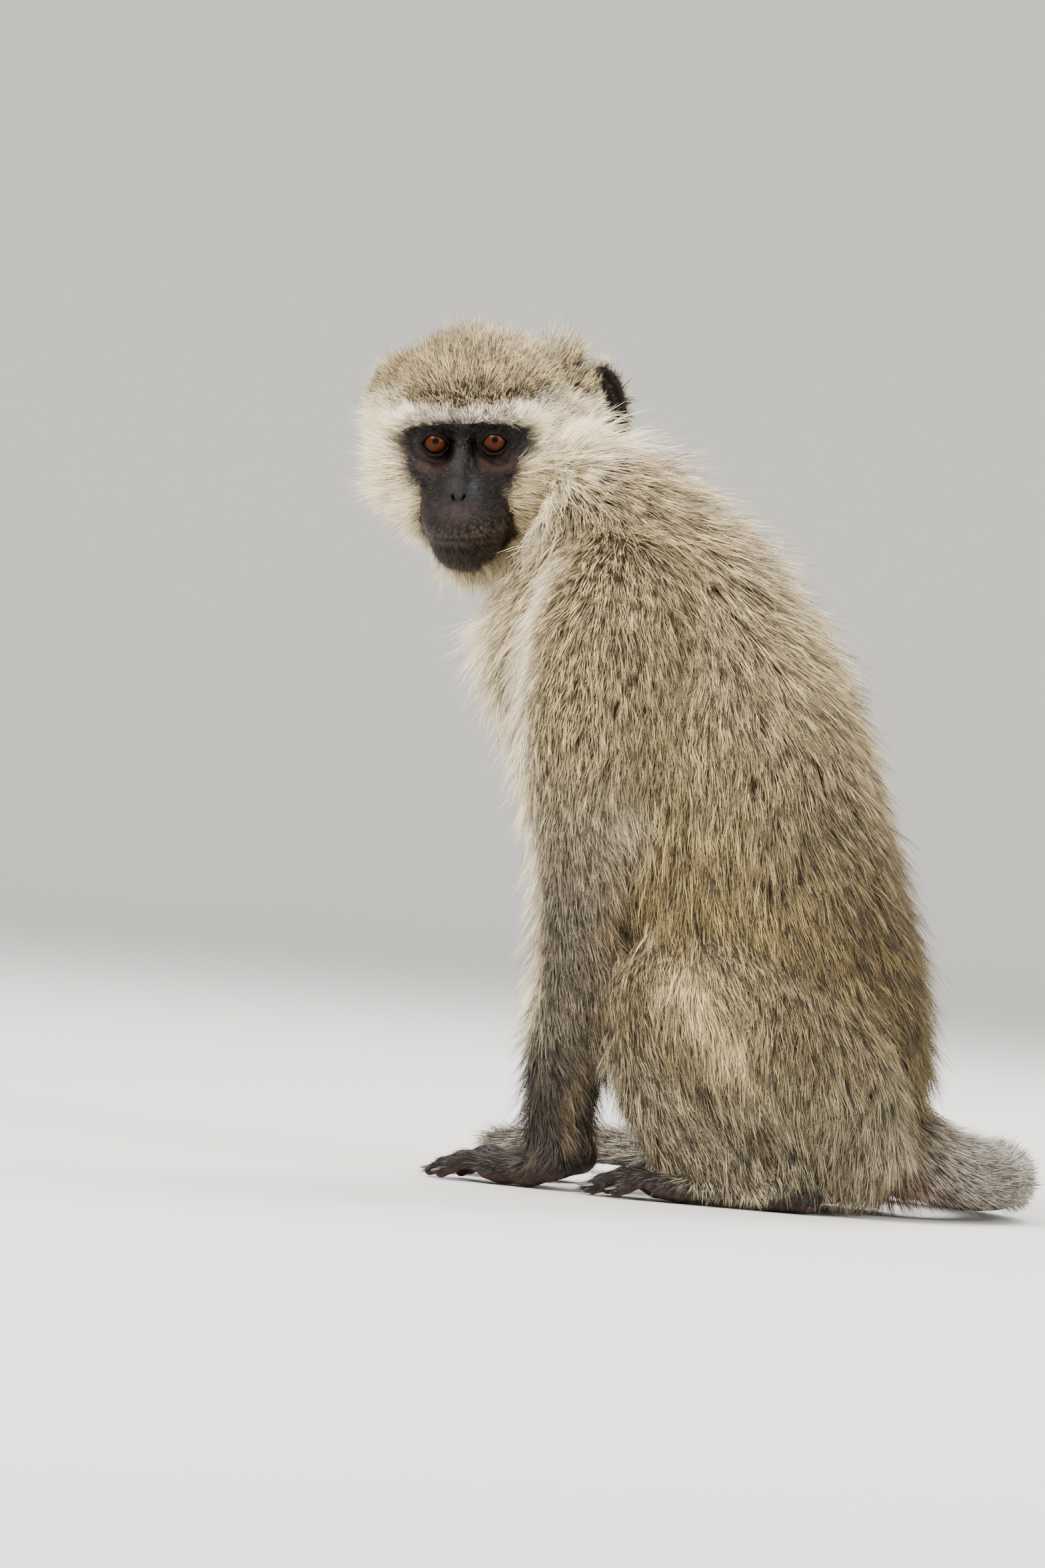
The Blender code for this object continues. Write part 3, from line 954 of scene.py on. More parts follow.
MARKINGS = {  # colours of the hair's roots and tips, and the share of the hairs with a dark band
    "crown": ("#221a11", "#b9a374", 0.8),
    "brow": ("#b5aa94", "#faf1de", 0.0),
    "cheek": ("#bfae88", "#f6e8c4", 0.05),
    "lash": ("#0b0807", "#14100e", 0.3),
    "lip": ("#2b241e", "#5f5040", 0.5),
    "chin": ("#15100c", "#3a2c1e", 0.4),
    "face": ("#151110", "#3b322d", 0.5),
    "nape": ("#433626", "#ead2a0", 0.75),
    "side": ("#3f3622", "#c4ab6e", 0.75),
    "back": ("#231d14", "#7f6b40", 0.9),
    "haunch": ("#363024", "#b09a6c", 0.8),
    # painted highlight: flank is a pale band down the front of the thigh, where the light falls on it
    "flank": ("#8f7a54", "#f2dba6", 0.1),
    "chest": ("#dccfae", "#fff2d4", 0.0),
    "arm": ("#463e34", "#9f9279", 0.65),
    "elbow": ("#574c3c", "#c6b691", 0.65),
    "shank": ("#453d32", "#bcad89", 0.65),
    "wrist": ("#2a2421", "#564c42", 0.6),
    "fringe": ("#645643", "#bfa882", 0.3),
    "paw": ("#1e1a18", "#443c37", 0.4),
    "tail": ("#3a3530", "#b3ab9a", 0.8),
    "rump": ("#6b3a25", "#9a5a38", 0.1),
    "ear": ("#1f1917", "#51443a", 0.3),
}


@dataclass
class Surface:
    """The skin's vertices with all that the coat needs to know about them.

    Attributes:
        skin: The skin object.
        place: Takes the head's own frame to the model's, in mm.
    """

    skin: Object
    place: Matrix

    TAIL_LINE = (  # the tail's middle line in mm, from its root
        *((0, 22, 60), (-2, 55, 34), (-17, 77, 23), (-48, 92, 21), (-88, 96, 19), (-126, 86, 18)),
        *((-155, 60, 17), (-171, 20, 16), (-175, -20, 15), (-173, -61, 14), (-178, -103, 13)),
        *((-192, -142, 12), (-218, -176, 9)),
    )
    FACE_EDGE = (  # heights, and the dark face's half width there, in mm
        (-64, -60, -55, -50, -45, -35, -27, -20, -12, 0, 5, 8.5, 10.5),
        (0, 8, 14.5, 19.5, 23, 24, 22, 22.6, 27.5, 31.2, 31, 24, 0),
    )
    SPOTS = (  # marking, both ends of its middle line, and its reach, in mm
        # the two flank spots paint a highlight: a pale band down the front of the thigh, where the light
        # falls on it
        ("flank", (88, -78, 158), (92, -56, 115), 12),
        ("flank", (92, -56, 115), (95, -20, 74), 14),
        ("cheek", (72, -80, 188), (74, -82, 178), 7),
        ("rump", (0, 56, 24), (0, 56, 26), 14),
    )
    DRIFT = {  # how far the hair of a limb follows it, and what is added to its way
        "upper_arm": (1.0, (0, 0.12, 0)),
        "forearm": (1.0, (0, 0.25, 0)),
        "shank": (0.8, (0, -0.1, -0.3)),
        "thigh": (0.15, (0, 0.15, -1.0)),
    }

    def read(self) -> None:
        """Finds each vertex's place, normal, neighbours and part of the body."""
        mesh = self.skin.data
        self.points = positions(mesh)
        self.normals = gathered(mesh.vertices, "normal", 3)
        self.edges = gathered(mesh.edges, "vertices", 2, np.int32)
        self.nodes = np.array(FLESH)[nearest_solid(self.points)]
        self.kinds = np.array([kind_of(name) for name in self.nodes])
        inverse = np.array(self.place.inverted())
        self.local = self.points @ inverse[:3, :3].T + inverse[:3, 3]
        reach, dish = HeadShape().ear_dish(np.abs(self.local) * (1, 0, 0) + self.local * (0, 1, 1))
        ear = (reach < 1.25) & (np.abs(dish) < 4.5)
        self.kinds[ear & np.isin(self.kinds, ("head", "ear", "neck"))] = "ear"
        self.kinds[(self.kinds == "ear") & ~ear] = "head"
        self.reach = np.where(self.kinds == "ear", reach, 0)
        self.rim = smooth(0.7, 0.9, self.reach) * smooth(0.8, -0.4, dish)

    def spread(self, values: Array, times: int) -> Array:
        """Averages values with those of neighbouring vertices.

        Args:
            values: A number or a row for each vertex.
            times: How many times.

        Returns:
            The averages.
        """
        count = len(self.points)
        degree = np.bincount(self.edges.ravel(), minlength=count)
        rows = values.reshape(count, -1).T.astype(float)
        for _ in range(times):
            fresh = []
            for row in rows:
                near = np.bincount(self.edges[:, 0], row[self.edges[:, 1]], count)
                near += np.bincount(self.edges[:, 1], row[self.edges[:, 0]], count)
                fresh.append((row + near) / (1 + degree))
            rows = np.array(fresh)
        return rows.T.reshape(values.shape)

    def on(self, *kinds: str) -> Array:
        """Which vertices are on some parts of the body, eased over their edges."""
        return self.spread(np.isin(self.kinds, kinds).astype(float), 10)

    def limb_way(self, node: str) -> Array:
        """Finds the direction along a limb's solid, downwards.

        Args:
            node: Name of the solid.

        Returns:
            The direction.
        """
        points = positions(frame["nodes"][node].data)
        _, _, axes = np.linalg.svd(points - points.mean(axis=0), full_matrices=False)
        return axes[0] * (-1 if axes[0][2] > 0 else 1)

    def tail_way(self) -> Array:
        """Finds the direction along the tail at each vertex.

        Returns:
            Rows of x, y, z.
        """
        line = np.array(self.TAIL_LINE, float)
        best = np.full(len(self.points), np.inf)
        ways = np.zeros((len(self.points), 3))
        for start, end in zip(line, line[1:]):
            near = np.abs(capsule(self.points, start, end, 0, 0))
            closer = near < best
            best[closer] = near[closer]
            ways[closer] = (end - start) / np.linalg.norm(end - start)
        return ways

    def paw_way(self, paw: Paw) -> Array:
        """The direction towards the digits at each vertex."""
        ahead = np.array([np.array(paw.to_model(side))[:3, :3] @ (0.0, -1.0, -0.35) for side in BOTH])
        return ahead[(self.points[:, 0] < 0).astype(int)]

    def head_way(self) -> Array:
        """Finds the way of the hair on the head: out from the muzzle, back over the crown, off the ears.

        Returns:
            Rows of x, y, z.
        """
        x, y, z = self.local.T
        out = unit(self.local - (0, -16, 30))
        out[:, 1] += 0.9 * smooth(3, 9, y) * smooth(26, 18, y) * smooth(-30, -10, z)
        tuft = smooth(12, 30, x) * smooth(14, 24, y) * smooth(-25, -45, z)
        out += tuft[:, None] * (1.2, 0.4, 0)
        shape = HeadShape()
        sides = np.where(x[:, None] < 0, -1, 1) * (1, 0, 0) + (0, 1, 1)
        radial = unit(shape.in_ear(self.local * sides) * (1, 1, 0)) @ shape.ear_turn() * sides
        out[self.reach > 0.6] = radial[self.reach > 0.6]
        return out @ np.array(self.place)[:3, :3].T

    def flattened(self, ways: Array) -> Array:
        """Lays directions along the skin."""
        return ways - self.normals * (ways * self.normals).sum(axis=1, keepdims=True)

    def comb(self) -> Array:
        """Finds the direction in which the coat lies at each vertex, along the skin.

        Returns:
            Rows of x, y, z.
        """
        ways = np.tile((0.0, 0.1, -1.0), (len(self.points), 1))
        neck = self.kinds == "neck"
        middle = np.array(self.place @ Vector((0, 0, -38)))
        aside = smooth(-1, 0.5, self.normals[neck, 1:2])
        ways[neck] = 0.35 * unit(self.points[neck] - middle) + aside * (0, 1.1, 0) + (0, 0, -0.7)
        for node in FLESH:
            if kind_of(node) in self.DRIFT:
                share, drift = self.DRIFT[kind_of(node)]
                ways[self.nodes == node] = share * self.limb_way(node) + drift
        thigh = self.kinds == "thigh"
        ways[thigh, 0] += 0.5 * np.sign(self.points[thigh, 0])
        for kinds, found in (
            (("head", "ear"), self.head_way()),
            (TAIL, self.tail_way()),
            (("hand",), self.paw_way(HAND)),
            (("foot",), self.paw_way(FOOT)),
        ):
            on = np.isin(self.kinds, kinds)
            ways[on] = found[on]
        ways = self.spread(unit(ways), 50)
        ways = self.spread(unit(self.flattened(ways)), 6)
        ways = unit(self.flattened(ways))
        across = np.cross(self.normals, ways)
        tousle = 20 * self.on("head") * smooth(13, 20, self.local[:, 1]) * ripple(self.points, 8, 9)
        swirl = 10 * ripple(self.points, 70, 1) + 7 * ripple(self.points, 22, 2) + tousle
        swirl = np.radians(swirl)[:, None]
        return ways * np.cos(swirl) + across * np.sin(swirl)

    def bare(self) -> None:
        """Finds how far each vertex is inside the dark face's edge and from an eye, and how bare it is."""
        x, y, z = self.local.T
        self.inside = np.interp(y, *self.FACE_EDGE) - np.abs(x)
        self.inside += 0.8 * ripple(self.points, 9, 3) + 1.0 * ripple(self.points, 2.8, 7)
        face = smooth(-1.5, 1.5, self.inside) * smooth(-20, -10, z)
        self.face = face * (y < 12) * (y > -68) * np.isin(self.kinds, ("head", "neck"))
        shape = HeadShape()
        shifted = x - shape.lean * np.maximum(z, 0)
        away = np.column_stack((np.abs(shifted) - shape.eye_apart - shape.aside * np.sign(shifted), y, z))
        self.lid = shape.opening_edge(away)
        paws = np.isin(self.kinds, ("hand", "foot")) & (self.points[:, 2] < 16)
        self.palm = smooth(0.1, 0.75, -self.normals[:, 2]) * paws

    def near(self, start: tuple, end: tuple, reach: float) -> Array:
        """How near vertices are to a line on either side of the body, from 0 to 1."""
        points = np.column_stack((np.abs(self.points[:, 0]), self.points[:, 1:]))
        return bell((capsule(points, np.array(start, float), np.array(end, float), 0, 0), reach))

    def head_marks(self) -> dict:
        """Finds how much of each of the head's markings there is at each vertex.

        Returns:
            Shares, by the marking's name.
        """
        x, y, z = self.local.T
        side = 13.6 + 10 * smooth(22, 38, np.abs(x)) + 0.2 * np.minimum(z + 4, 0)
        side = side + 1.5 * ripple(self.points, 11, 4)
        above = smooth(-3, 4, y - side)
        band = smooth(7, 10.5, y) * smooth(-30, -14, z)
        head = self.on("head") * (1 - self.face)
        lip = bell((y + 38, 4.5))
        chin = smooth(-43.5, -47, y)
        edge = np.maximum(smooth(2, 5, y), smooth(4, 1, self.inside) * smooth(-24, -14, y))
        face = self.face * (1 - edge)
        return {
            "crown": head * above,
            "brow": head * (1 - above) * band,
            "cheek": head * (1 - above) * (1 - band) + self.on("ear") * self.rim,
            "lash": self.face * edge,
            "lip": face * lip,
            "chin": face * chin,
            "face": face * np.clip(1 - lip - chin, 0, 1),
            "ear": self.on("ear") * (1 - self.rim),
        }

    def markings(self) -> dict:
        """Finds how much of each marking there is at each vertex.

        Returns:
            Shares, by the marking's name.
        """
        px, py, pz = self.points.T
        nx, ny, _ = self.normals.T
        inward = -np.sign(px) * nx
        shares = self.head_marks()
        body, neck = self.on("trunk"), self.on("neck")
        high = smooth(170, 260, pz)
        front = smooth(0, 1, (-ny - 0.3 - 0.38 * high) / (0.5 - 0.22 * high))
        ruff = smooth(3, 22, 0.61 * (pz - 357.0 - 1.3 * (py + 96.0))) * (1 - front)
        shares["chest"] = (body + neck) * front
        shares["cheek"] += (body + neck) * ruff
        low, behind = smooth(300, 120, pz), smooth(0, 0.75, ny)
        shares["nape"] = (body * (1 - low) + neck) * (1 - front - ruff)
        loin = body * (1 - front - ruff) * low
        shares["side"] = loin * (1 - behind)
        shares["back"] = loin * behind
        thigh, shank = self.on("thigh"), self.on("shank")
        inner, bottom = smooth(0.1, 0.6, inward), smooth(95, 45, pz)
        shares["haunch"] = thigh * (1 - inner) * (1 - bottom)
        shares["shank"] = (shank + thigh * bottom) * (1 - inner)
        shares["chest"] += (thigh + shank) * inner
        upper, fore = self.on("upper_arm"), self.on("forearm")
        pale = np.maximum(smooth(0.15, 0.65, inward), smooth(0.5, 0.92, -ny))
        shares["chest"] += upper * pale + fore * pale * smooth(60, 120, pz)
        elbow, rear, cuff = smooth(230, 180, pz), smooth(0.45, 0.9, ny), smooth(35, 100, pz)
        sleeve = upper * (1 - pale) * (1 - elbow)
        shares["nape"] += sleeve * 0.6
        shares["side"] += sleeve * 0.4
        shares["elbow"] = upper * (1 - pale) * elbow + fore * (1 - pale) * smooth(150, 190, pz)
        shares["fringe"] = fore * (1 - pale) * rear
        shares["arm"] = fore * (1 - pale) * (1 - rear) * cuff
        shares["wrist"] = fore * ((1 - pale) * (1 - rear) * (1 - cuff) + pale * (1 - cuff))
        shares["paw"] = self.on("hand") + self.on("foot")
        shares["tail"] = self.on(*TAIL)
        for mark, start, end, reach in self.SPOTS:
            share = self.near(start, end, reach)
            for name in shares:
                shares[name] = shares[name] * (1 - share)
            shares[mark] = shares.get(mark, 0) + share
        return shares

    def coat_colours(self) -> tuple:
        """Mixes the colours of the hair at each vertex.

        Returns:
            The colours at the roots and at the tips, and the share of the hairs that are banded dark.
        """
        total = np.maximum(sum(self.shares.values()), 1e-3)
        under, over, grizzle = 0.0, 0.0, 0.0
        for name, share in self.shares.items():
            root, tip, banded = MARKINGS[name]
            part = (share / total)[:, None]
            under = under + part * linear(root)
            over = over + part * linear(tip)
            grizzle = grizzle + part[:, 0] * banded
        cloud = 1 + 0.1 * ripple(self.points, 45, 5)[:, None] + 0.1 * ripple(self.points, 13, 6)[:, None]
        tufts = self.on("head") * (1 - self.face) * smooth(14, 18, self.local[:, 1])
        cloud = cloud + (0.4 * tufts * ripple(self.points, 5, 10))[:, None]
        return under * cloud, over * cloud, grizzle

    def skin_colours(self, under: Array) -> Array:
        """Mixes the colours of the skin: its own where it is bare, with painted shade and painted highlights
        on the face, and those of the hair's roots elsewhere.

        Args:
            under: The colour at the hair's roots at each vertex.

        Returns:
            Rows of red, green and blue.
        """
        x, y, z = self.local.T
        x = x - HeadShape.lean * np.maximum(z, 0)
        ax = np.abs(x)
        speckle = np.clip(0.65 + 0.6 * ripple(self.points, 2.2, 8), 0, 1)
        colour = np.tile(linear("#0f0c0c"), (len(x), 1))
        for tone, share, strength in (
            ("#0c0908", smooth(38, 50, -y), 0.6),  # chin
            ("#3d2e28", bell((ax - 16.5, 9.5), (y + 8.5, 4.6)), 0.85),  # under the eyes
            ("#2b2322", bell((ax, 13), (y + 31, 7)), 0.75),  # over the lips
            ("#1d2124", bell((x + 1.5, 3.6), (y + 8, 10)), 0.85),  # bridge of the nose
            ("#252324", bell((x + 1.5, 5), (y + 19, 4)), 0.85),  # painted highlight on the ball of the nose
            ("#30373c", bell((x - 7.6, 3.0), (y + 19, 5)) * speckle, 0.7),  # its left side
            ("#030202", bell((x - 3.4, 1.9), (y + 5, 13)), 0.95),  # painted shade in the grooves along both sides of the bridge
            # painted shade in the groove on the bridge's other side
            ("#050404", bell((x + 7.0, 3.0), (y + 1, 7)), 0.8),
            ("#080606", bell((y + 24.6 - 0.3 * x, 1.2), (x + 0.5, 4.5)), 0.7),  # painted shade in and under the nostrils
            ("#040303", bell((ax - 18, 5.0), (y + 25, 5)), 0.6),  # painted shade in the folds between the muzzle and the cheeks
            ("#050303", smooth(2.5, 5, y) * (ax < 40), 0.9),  # brow ridge: dark skin, darkened further by painted shade over the upper lids
            ("#0b0808", smooth(20, 28, ax), 0.6),  # temples
            ("#33373b", bell((x + 2, 4.5), (y + 45.6, 1.5)), 0.5),  # lower lip
            ("#040303", smooth(4.2, 1.8, self.lid) * smooth(-2, 2, z), 0.9),  # rims of the lids
        ):
            part = (np.clip(share, 0, 1) * strength)[:, None]
            colour = colour * (1 - part) + np.array(linear(tone)) * part
        paws, ears = np.isin(self.kinds, ("hand", "foot")), self.kinds == "ear"
        soft = (smooth(0, 0.5, -self.normals[:, 2]) * 0.5)[:, None]
        palm = np.array(linear("#1d1816")) * (1 - soft) + np.array(linear("#4a3731")) * soft
        colour[paws] = palm[paws]
        colour[ears] = linear("#1c1615")
        share = np.maximum(np.maximum(self.face, self.palm), ears)[:, None]
        return colour * share + under * 0.8 * (1 - share)

    def hair(self) -> tuple:
        """Finds how the hair stands at each vertex.

        Returns:
            Its length in mm, its lift in degrees, and its density from 0 to 1.
        """
        length = self.spread(np.array([FUR[kind].length for kind in self.kinds]), 10)
        lift = self.spread(np.array([FUR[kind].lift for kind in self.kinds]), 10)
        x, y, z = self.local.T
        ny, nz = self.normals[:, 1:].T
        px, _, pz = self.points.T
        head, out = self.on("head"), -self.inside
        left, aside = smooth(0, 20, x), smooth(26, 36, np.abs(x))
        whisker = aside * smooth(0, 1, (16.0 - 16.0 * left - y) / 13.0) * smooth(-62, -30, z)
        crest = aside * smooth(18, 28, y) * smooth(-20, -45, z) * (0.3 + 1.1 * left)
        ahead = smooth(26, 34, x) * smooth(-12, -4, y) * smooth(34, 28, y)
        ahead = ahead * smooth(-26, -44, z)
        beard = smooth(-48, -58, y) * smooth(-40, -10, z)
        brow = smooth(7, 10, y) * smooth(24, 19, y) * smooth(-30, -14, z)
        crown = smooth(13, 17, y) * (1 + 0.2 * smooth(24, 16, y) * smooth(-30, -10, z))
        close = smooth(12, 0, out) * smooth(-20, -10, z) * smooth(8, 4, y)
        more = (6 + 9 * left) * whisker + 9 * crest + 8 * beard - (9 + 3 * smooth(5, 0, out)) * brow
        length += head * (more - 4 * crown - 4 * close)
        length += head * ahead * (8 - length)
        length -= 5 * head * aside * left * smooth(-10, 0, y) * smooth(30, 20, y) * (1 - ahead)
        lift += head * (12 * whisker + 14 * crest + 2 * brow)
        front = self.on("trunk", "neck") * smooth(0.3, 0.8, -ny)
        length += 3 * front
        lift += 7 * front
        behind = self.on("neck", "head") * smooth(22, 34, x) * smooth(-8, 2, y)
        behind = behind * smooth(-66, -76, z)
        length += 7 * behind
        lift += 22 * behind
        scruff = self.on("trunk", "neck") * smooth(0.1, 0.7, ny) * smooth(230, 290, pz)
        fore = self.on("forearm") * np.abs(ny)
        skirt = self.on("trunk") * smooth(45, 60, np.abs(px)) * smooth(200, 175, pz)
        length += 4 * scruff + 4 * fore + 6 * skirt
        lift += 8 * scruff + 7 * fore - 12 * self.on("thigh") * smooth(0.1, 0.6, nz)
        length += self.rim * (12 - length)
        lift += self.rim * (14 - lift)
        lips = smooth(-34, -38, y)
        edge = np.maximum(smooth(4, 7, y), smooth(5, 1, self.inside) * smooth(-30, -16, y))
        temple = smooth(18, 27, np.abs(x)) * smooth(-12, -2, y)
        length += self.face * (3.2 + 1.1 * lips + (5.5 + 3 * temple) * edge - length)
        lift += self.face * (28 + 18 * edge - lift)
        nose = (x / 8.5) ** 2 + ((y + 22.0) / 7.0) ** 2
        few = np.maximum(np.maximum(lips, edge), 0.75) * smooth(1.4, 3, self.lid) * smooth(0.7, 1.5, nose)
        density = np.where(self.face > 0.5, few, 1.0)
        density = density * np.where(self.kinds == "ear", 0.5 + 0.5 * self.rim, 1 - 0.4 * ahead)
        buried = (pz < 3.0) | (nz < -0.75) & (pz < 12.0)
        return length, lift, density * (1 - self.palm) ** 1.5 * ~buried

    def write(self) -> None:
        """Stores on the skin the attributes that its material and the coat read."""
        self.bare()
        self.shares = self.markings()
        under, over, grizzle = self.coat_colours()
        length, lift, density = self.hair()
        for kind, rows in (
            ("FLOAT_COLOR", {"under": under, "over": over, "tone": self.skin_colours(under)}),
            ("FLOAT", {"grizzle": grizzle, "length": length, "lift": np.radians(lift), "density": density}),
            ("FLOAT_VECTOR", {"lie": self.comb(), "upright": self.normals}),
        ):
            for name, values in rows.items():
                store(self.skin.data, name, values, kind)


VARIANTS = 6  # locks of each kind
MATH = "ShaderNodeMath"
VECTORS = "ShaderNodeVectorMath"
MIX = "ShaderNodeMix"
RANGE = "ShaderNodeMapRange"
NOISE = "ShaderNodeTexNoise"
READ = "ShaderNodeAttribute"
RANDOM = "FunctionNodeRandomValue"
TIMES = {"operation": "MULTIPLY"}
SCALE = {"operation": "SCALE"}
TIMES_PLUS = {"operation": "MULTIPLY_ADD"}
COLOURS = {"data_type": "RGBA"}
TINTED = {"data_type": "RGBA", "blend_type": "MULTIPLY"}
EASED = {"interpolation_type": "SMOOTHSTEP"}


def fill(node: bpy.types.Node, **given: object) -> None:
    """Sets a node's inputs, or links them.

    Args:
        node: The node.
        **given: For each input, by its identifier with spaces as underscores, a socket or a value.
    """
    sockets = {socket.identifier.replace(" ", "_"): socket for socket in node.inputs}
    for name, value in given.items():
        if isinstance(value, NodeSocket):
            node.id_data.links.new(value, sockets[name])
        else:
            sockets[name].default_value = value


def add_node(
    tree: NodeTree, kind: str, settings: dict | None = None, output: str = "", **given: object
) -> NodeSocket:
    """Adds a node with its settings and what goes into it.

    Args:
        tree: The tree that it is added to.
        kind: The node's Blender type.
        settings: Its properties.
        output: Name of the output that is wanted, if not the first in use.
        **given: Its inputs, as fill takes them.

    Returns:
        The output.
    """
    node = tree.nodes.new(kind)
    for name, value in (settings or {}).items():
        setattr(node, name, value)
    fill(node, **given)
    return next(socket for socket in node.outputs if socket.enabled and output in ("", socket.name))


@dataclass(frozen=True)
class Lock:
    """A few hairs that lie together: flat blades that taper, along +Y, one unit long.

    Attributes:
        strands: Number of hairs.
        width: Width of a hair at its root, in mm.
        fan: How far the hairs stand apart at the root, in mm.
        splay: How far their tips spread sideways, as a share of their length.
        bend: How far they bend down at the tip, as a share of their length.
        rings: Number of cross sections before the tip.
        usual: Length of hair in mm at which a lock has its true shape.
    """

    strands: int = 3
    width: float = 0.75
    fan: float = 1.5
    splay: float = 0.12
    bend: float = 0.16
    rings: int = 2
    usual: float = 20.0

    CORNERS = ((-0.5, 0.0), (0.5, 0.0), (0.0, 0.34))  # a hair's section, across and up

    def build(self, name: str, seed: int) -> Object:
        """Makes the mesh of one lock.

        Args:
            name: Name of the object.
            seed: Which lock of its kind.

        Returns:
            The object, which isn't in the scene.
        """
        rng = np.random.default_rng(seed)
        points, faces, along, strand, spot = [], [], [], [], []
        for number in range(self.strands):
            start = (number - (self.strands - 1) / 2) * self.fan / max(self.strands - 1, 1)
            start += rng.uniform(-0.25, 0.25) * self.fan
            back = rng.uniform(-0.06, 0.1)
            length = rng.uniform(0.7, 1.0)
            side = rng.uniform(-1, 1) * self.splay
            curl = rng.uniform(-1, 1) * self.splay * 0.8
            rise = rng.uniform(-0.07, 0.09)
            bend = self.bend * rng.uniform(0.5, 1.5)
            hue = rng.uniform()
            first = len(points)
            for ring in range(self.rings + 1):
                share = ring / self.rings if self.rings else 1.0
                y = length * share
                centre = start + (side * y + curl * y * y) * self.usual
                height = rise * y - bend * y * y
                thick = self.width * (1 - share) ** 0.7
                for u, w in self.CORNERS if ring < self.rings else ((0.0, 0.0),):
                    points.append((centre + u * thick, back + y, height + w * thick / self.usual))
                    along.append(y)
                    strand.append(hue)
                    spot.append((0.5 + 0.8 * (number + 0.5 + u * 0.5) / self.strands - 0.4, y, 0.0))
            faces.append((first, first + 1, first + 2))
            for base in range(first, first + 3 * self.rings, 3):
                for k, after in ((0, 1), (1, 2), (2, 0)):
                    if base < first + 3 * (self.rings - 1):
                        faces.append((base + k, base + 3 + k, base + 3 + after, base + after))
                    else:
                        faces.append((base + after, base + k, base + 3))
        mesh = bpy.data.meshes.new(name)
        mesh.from_pydata(points, [], faces)
        mesh.shade_smooth()
        store(mesh, "along", along)
        store(mesh, "strand", strand)
        store(mesh, "spot", spot, "FLOAT_VECTOR")
        return bpy.data.objects.new(name, mesh)

    def variants(self, name: str) -> Collection:
        """Makes several locks of the kind.

        Args:
            name: What they are called.

        Returns:
            Their collection, which isn't in the scene.
        """
        group = bpy.data.collections.new(name)
        for number in range(VARIANTS):
            group.objects.link(self.build(f"{name}_{number}", number))
        return group


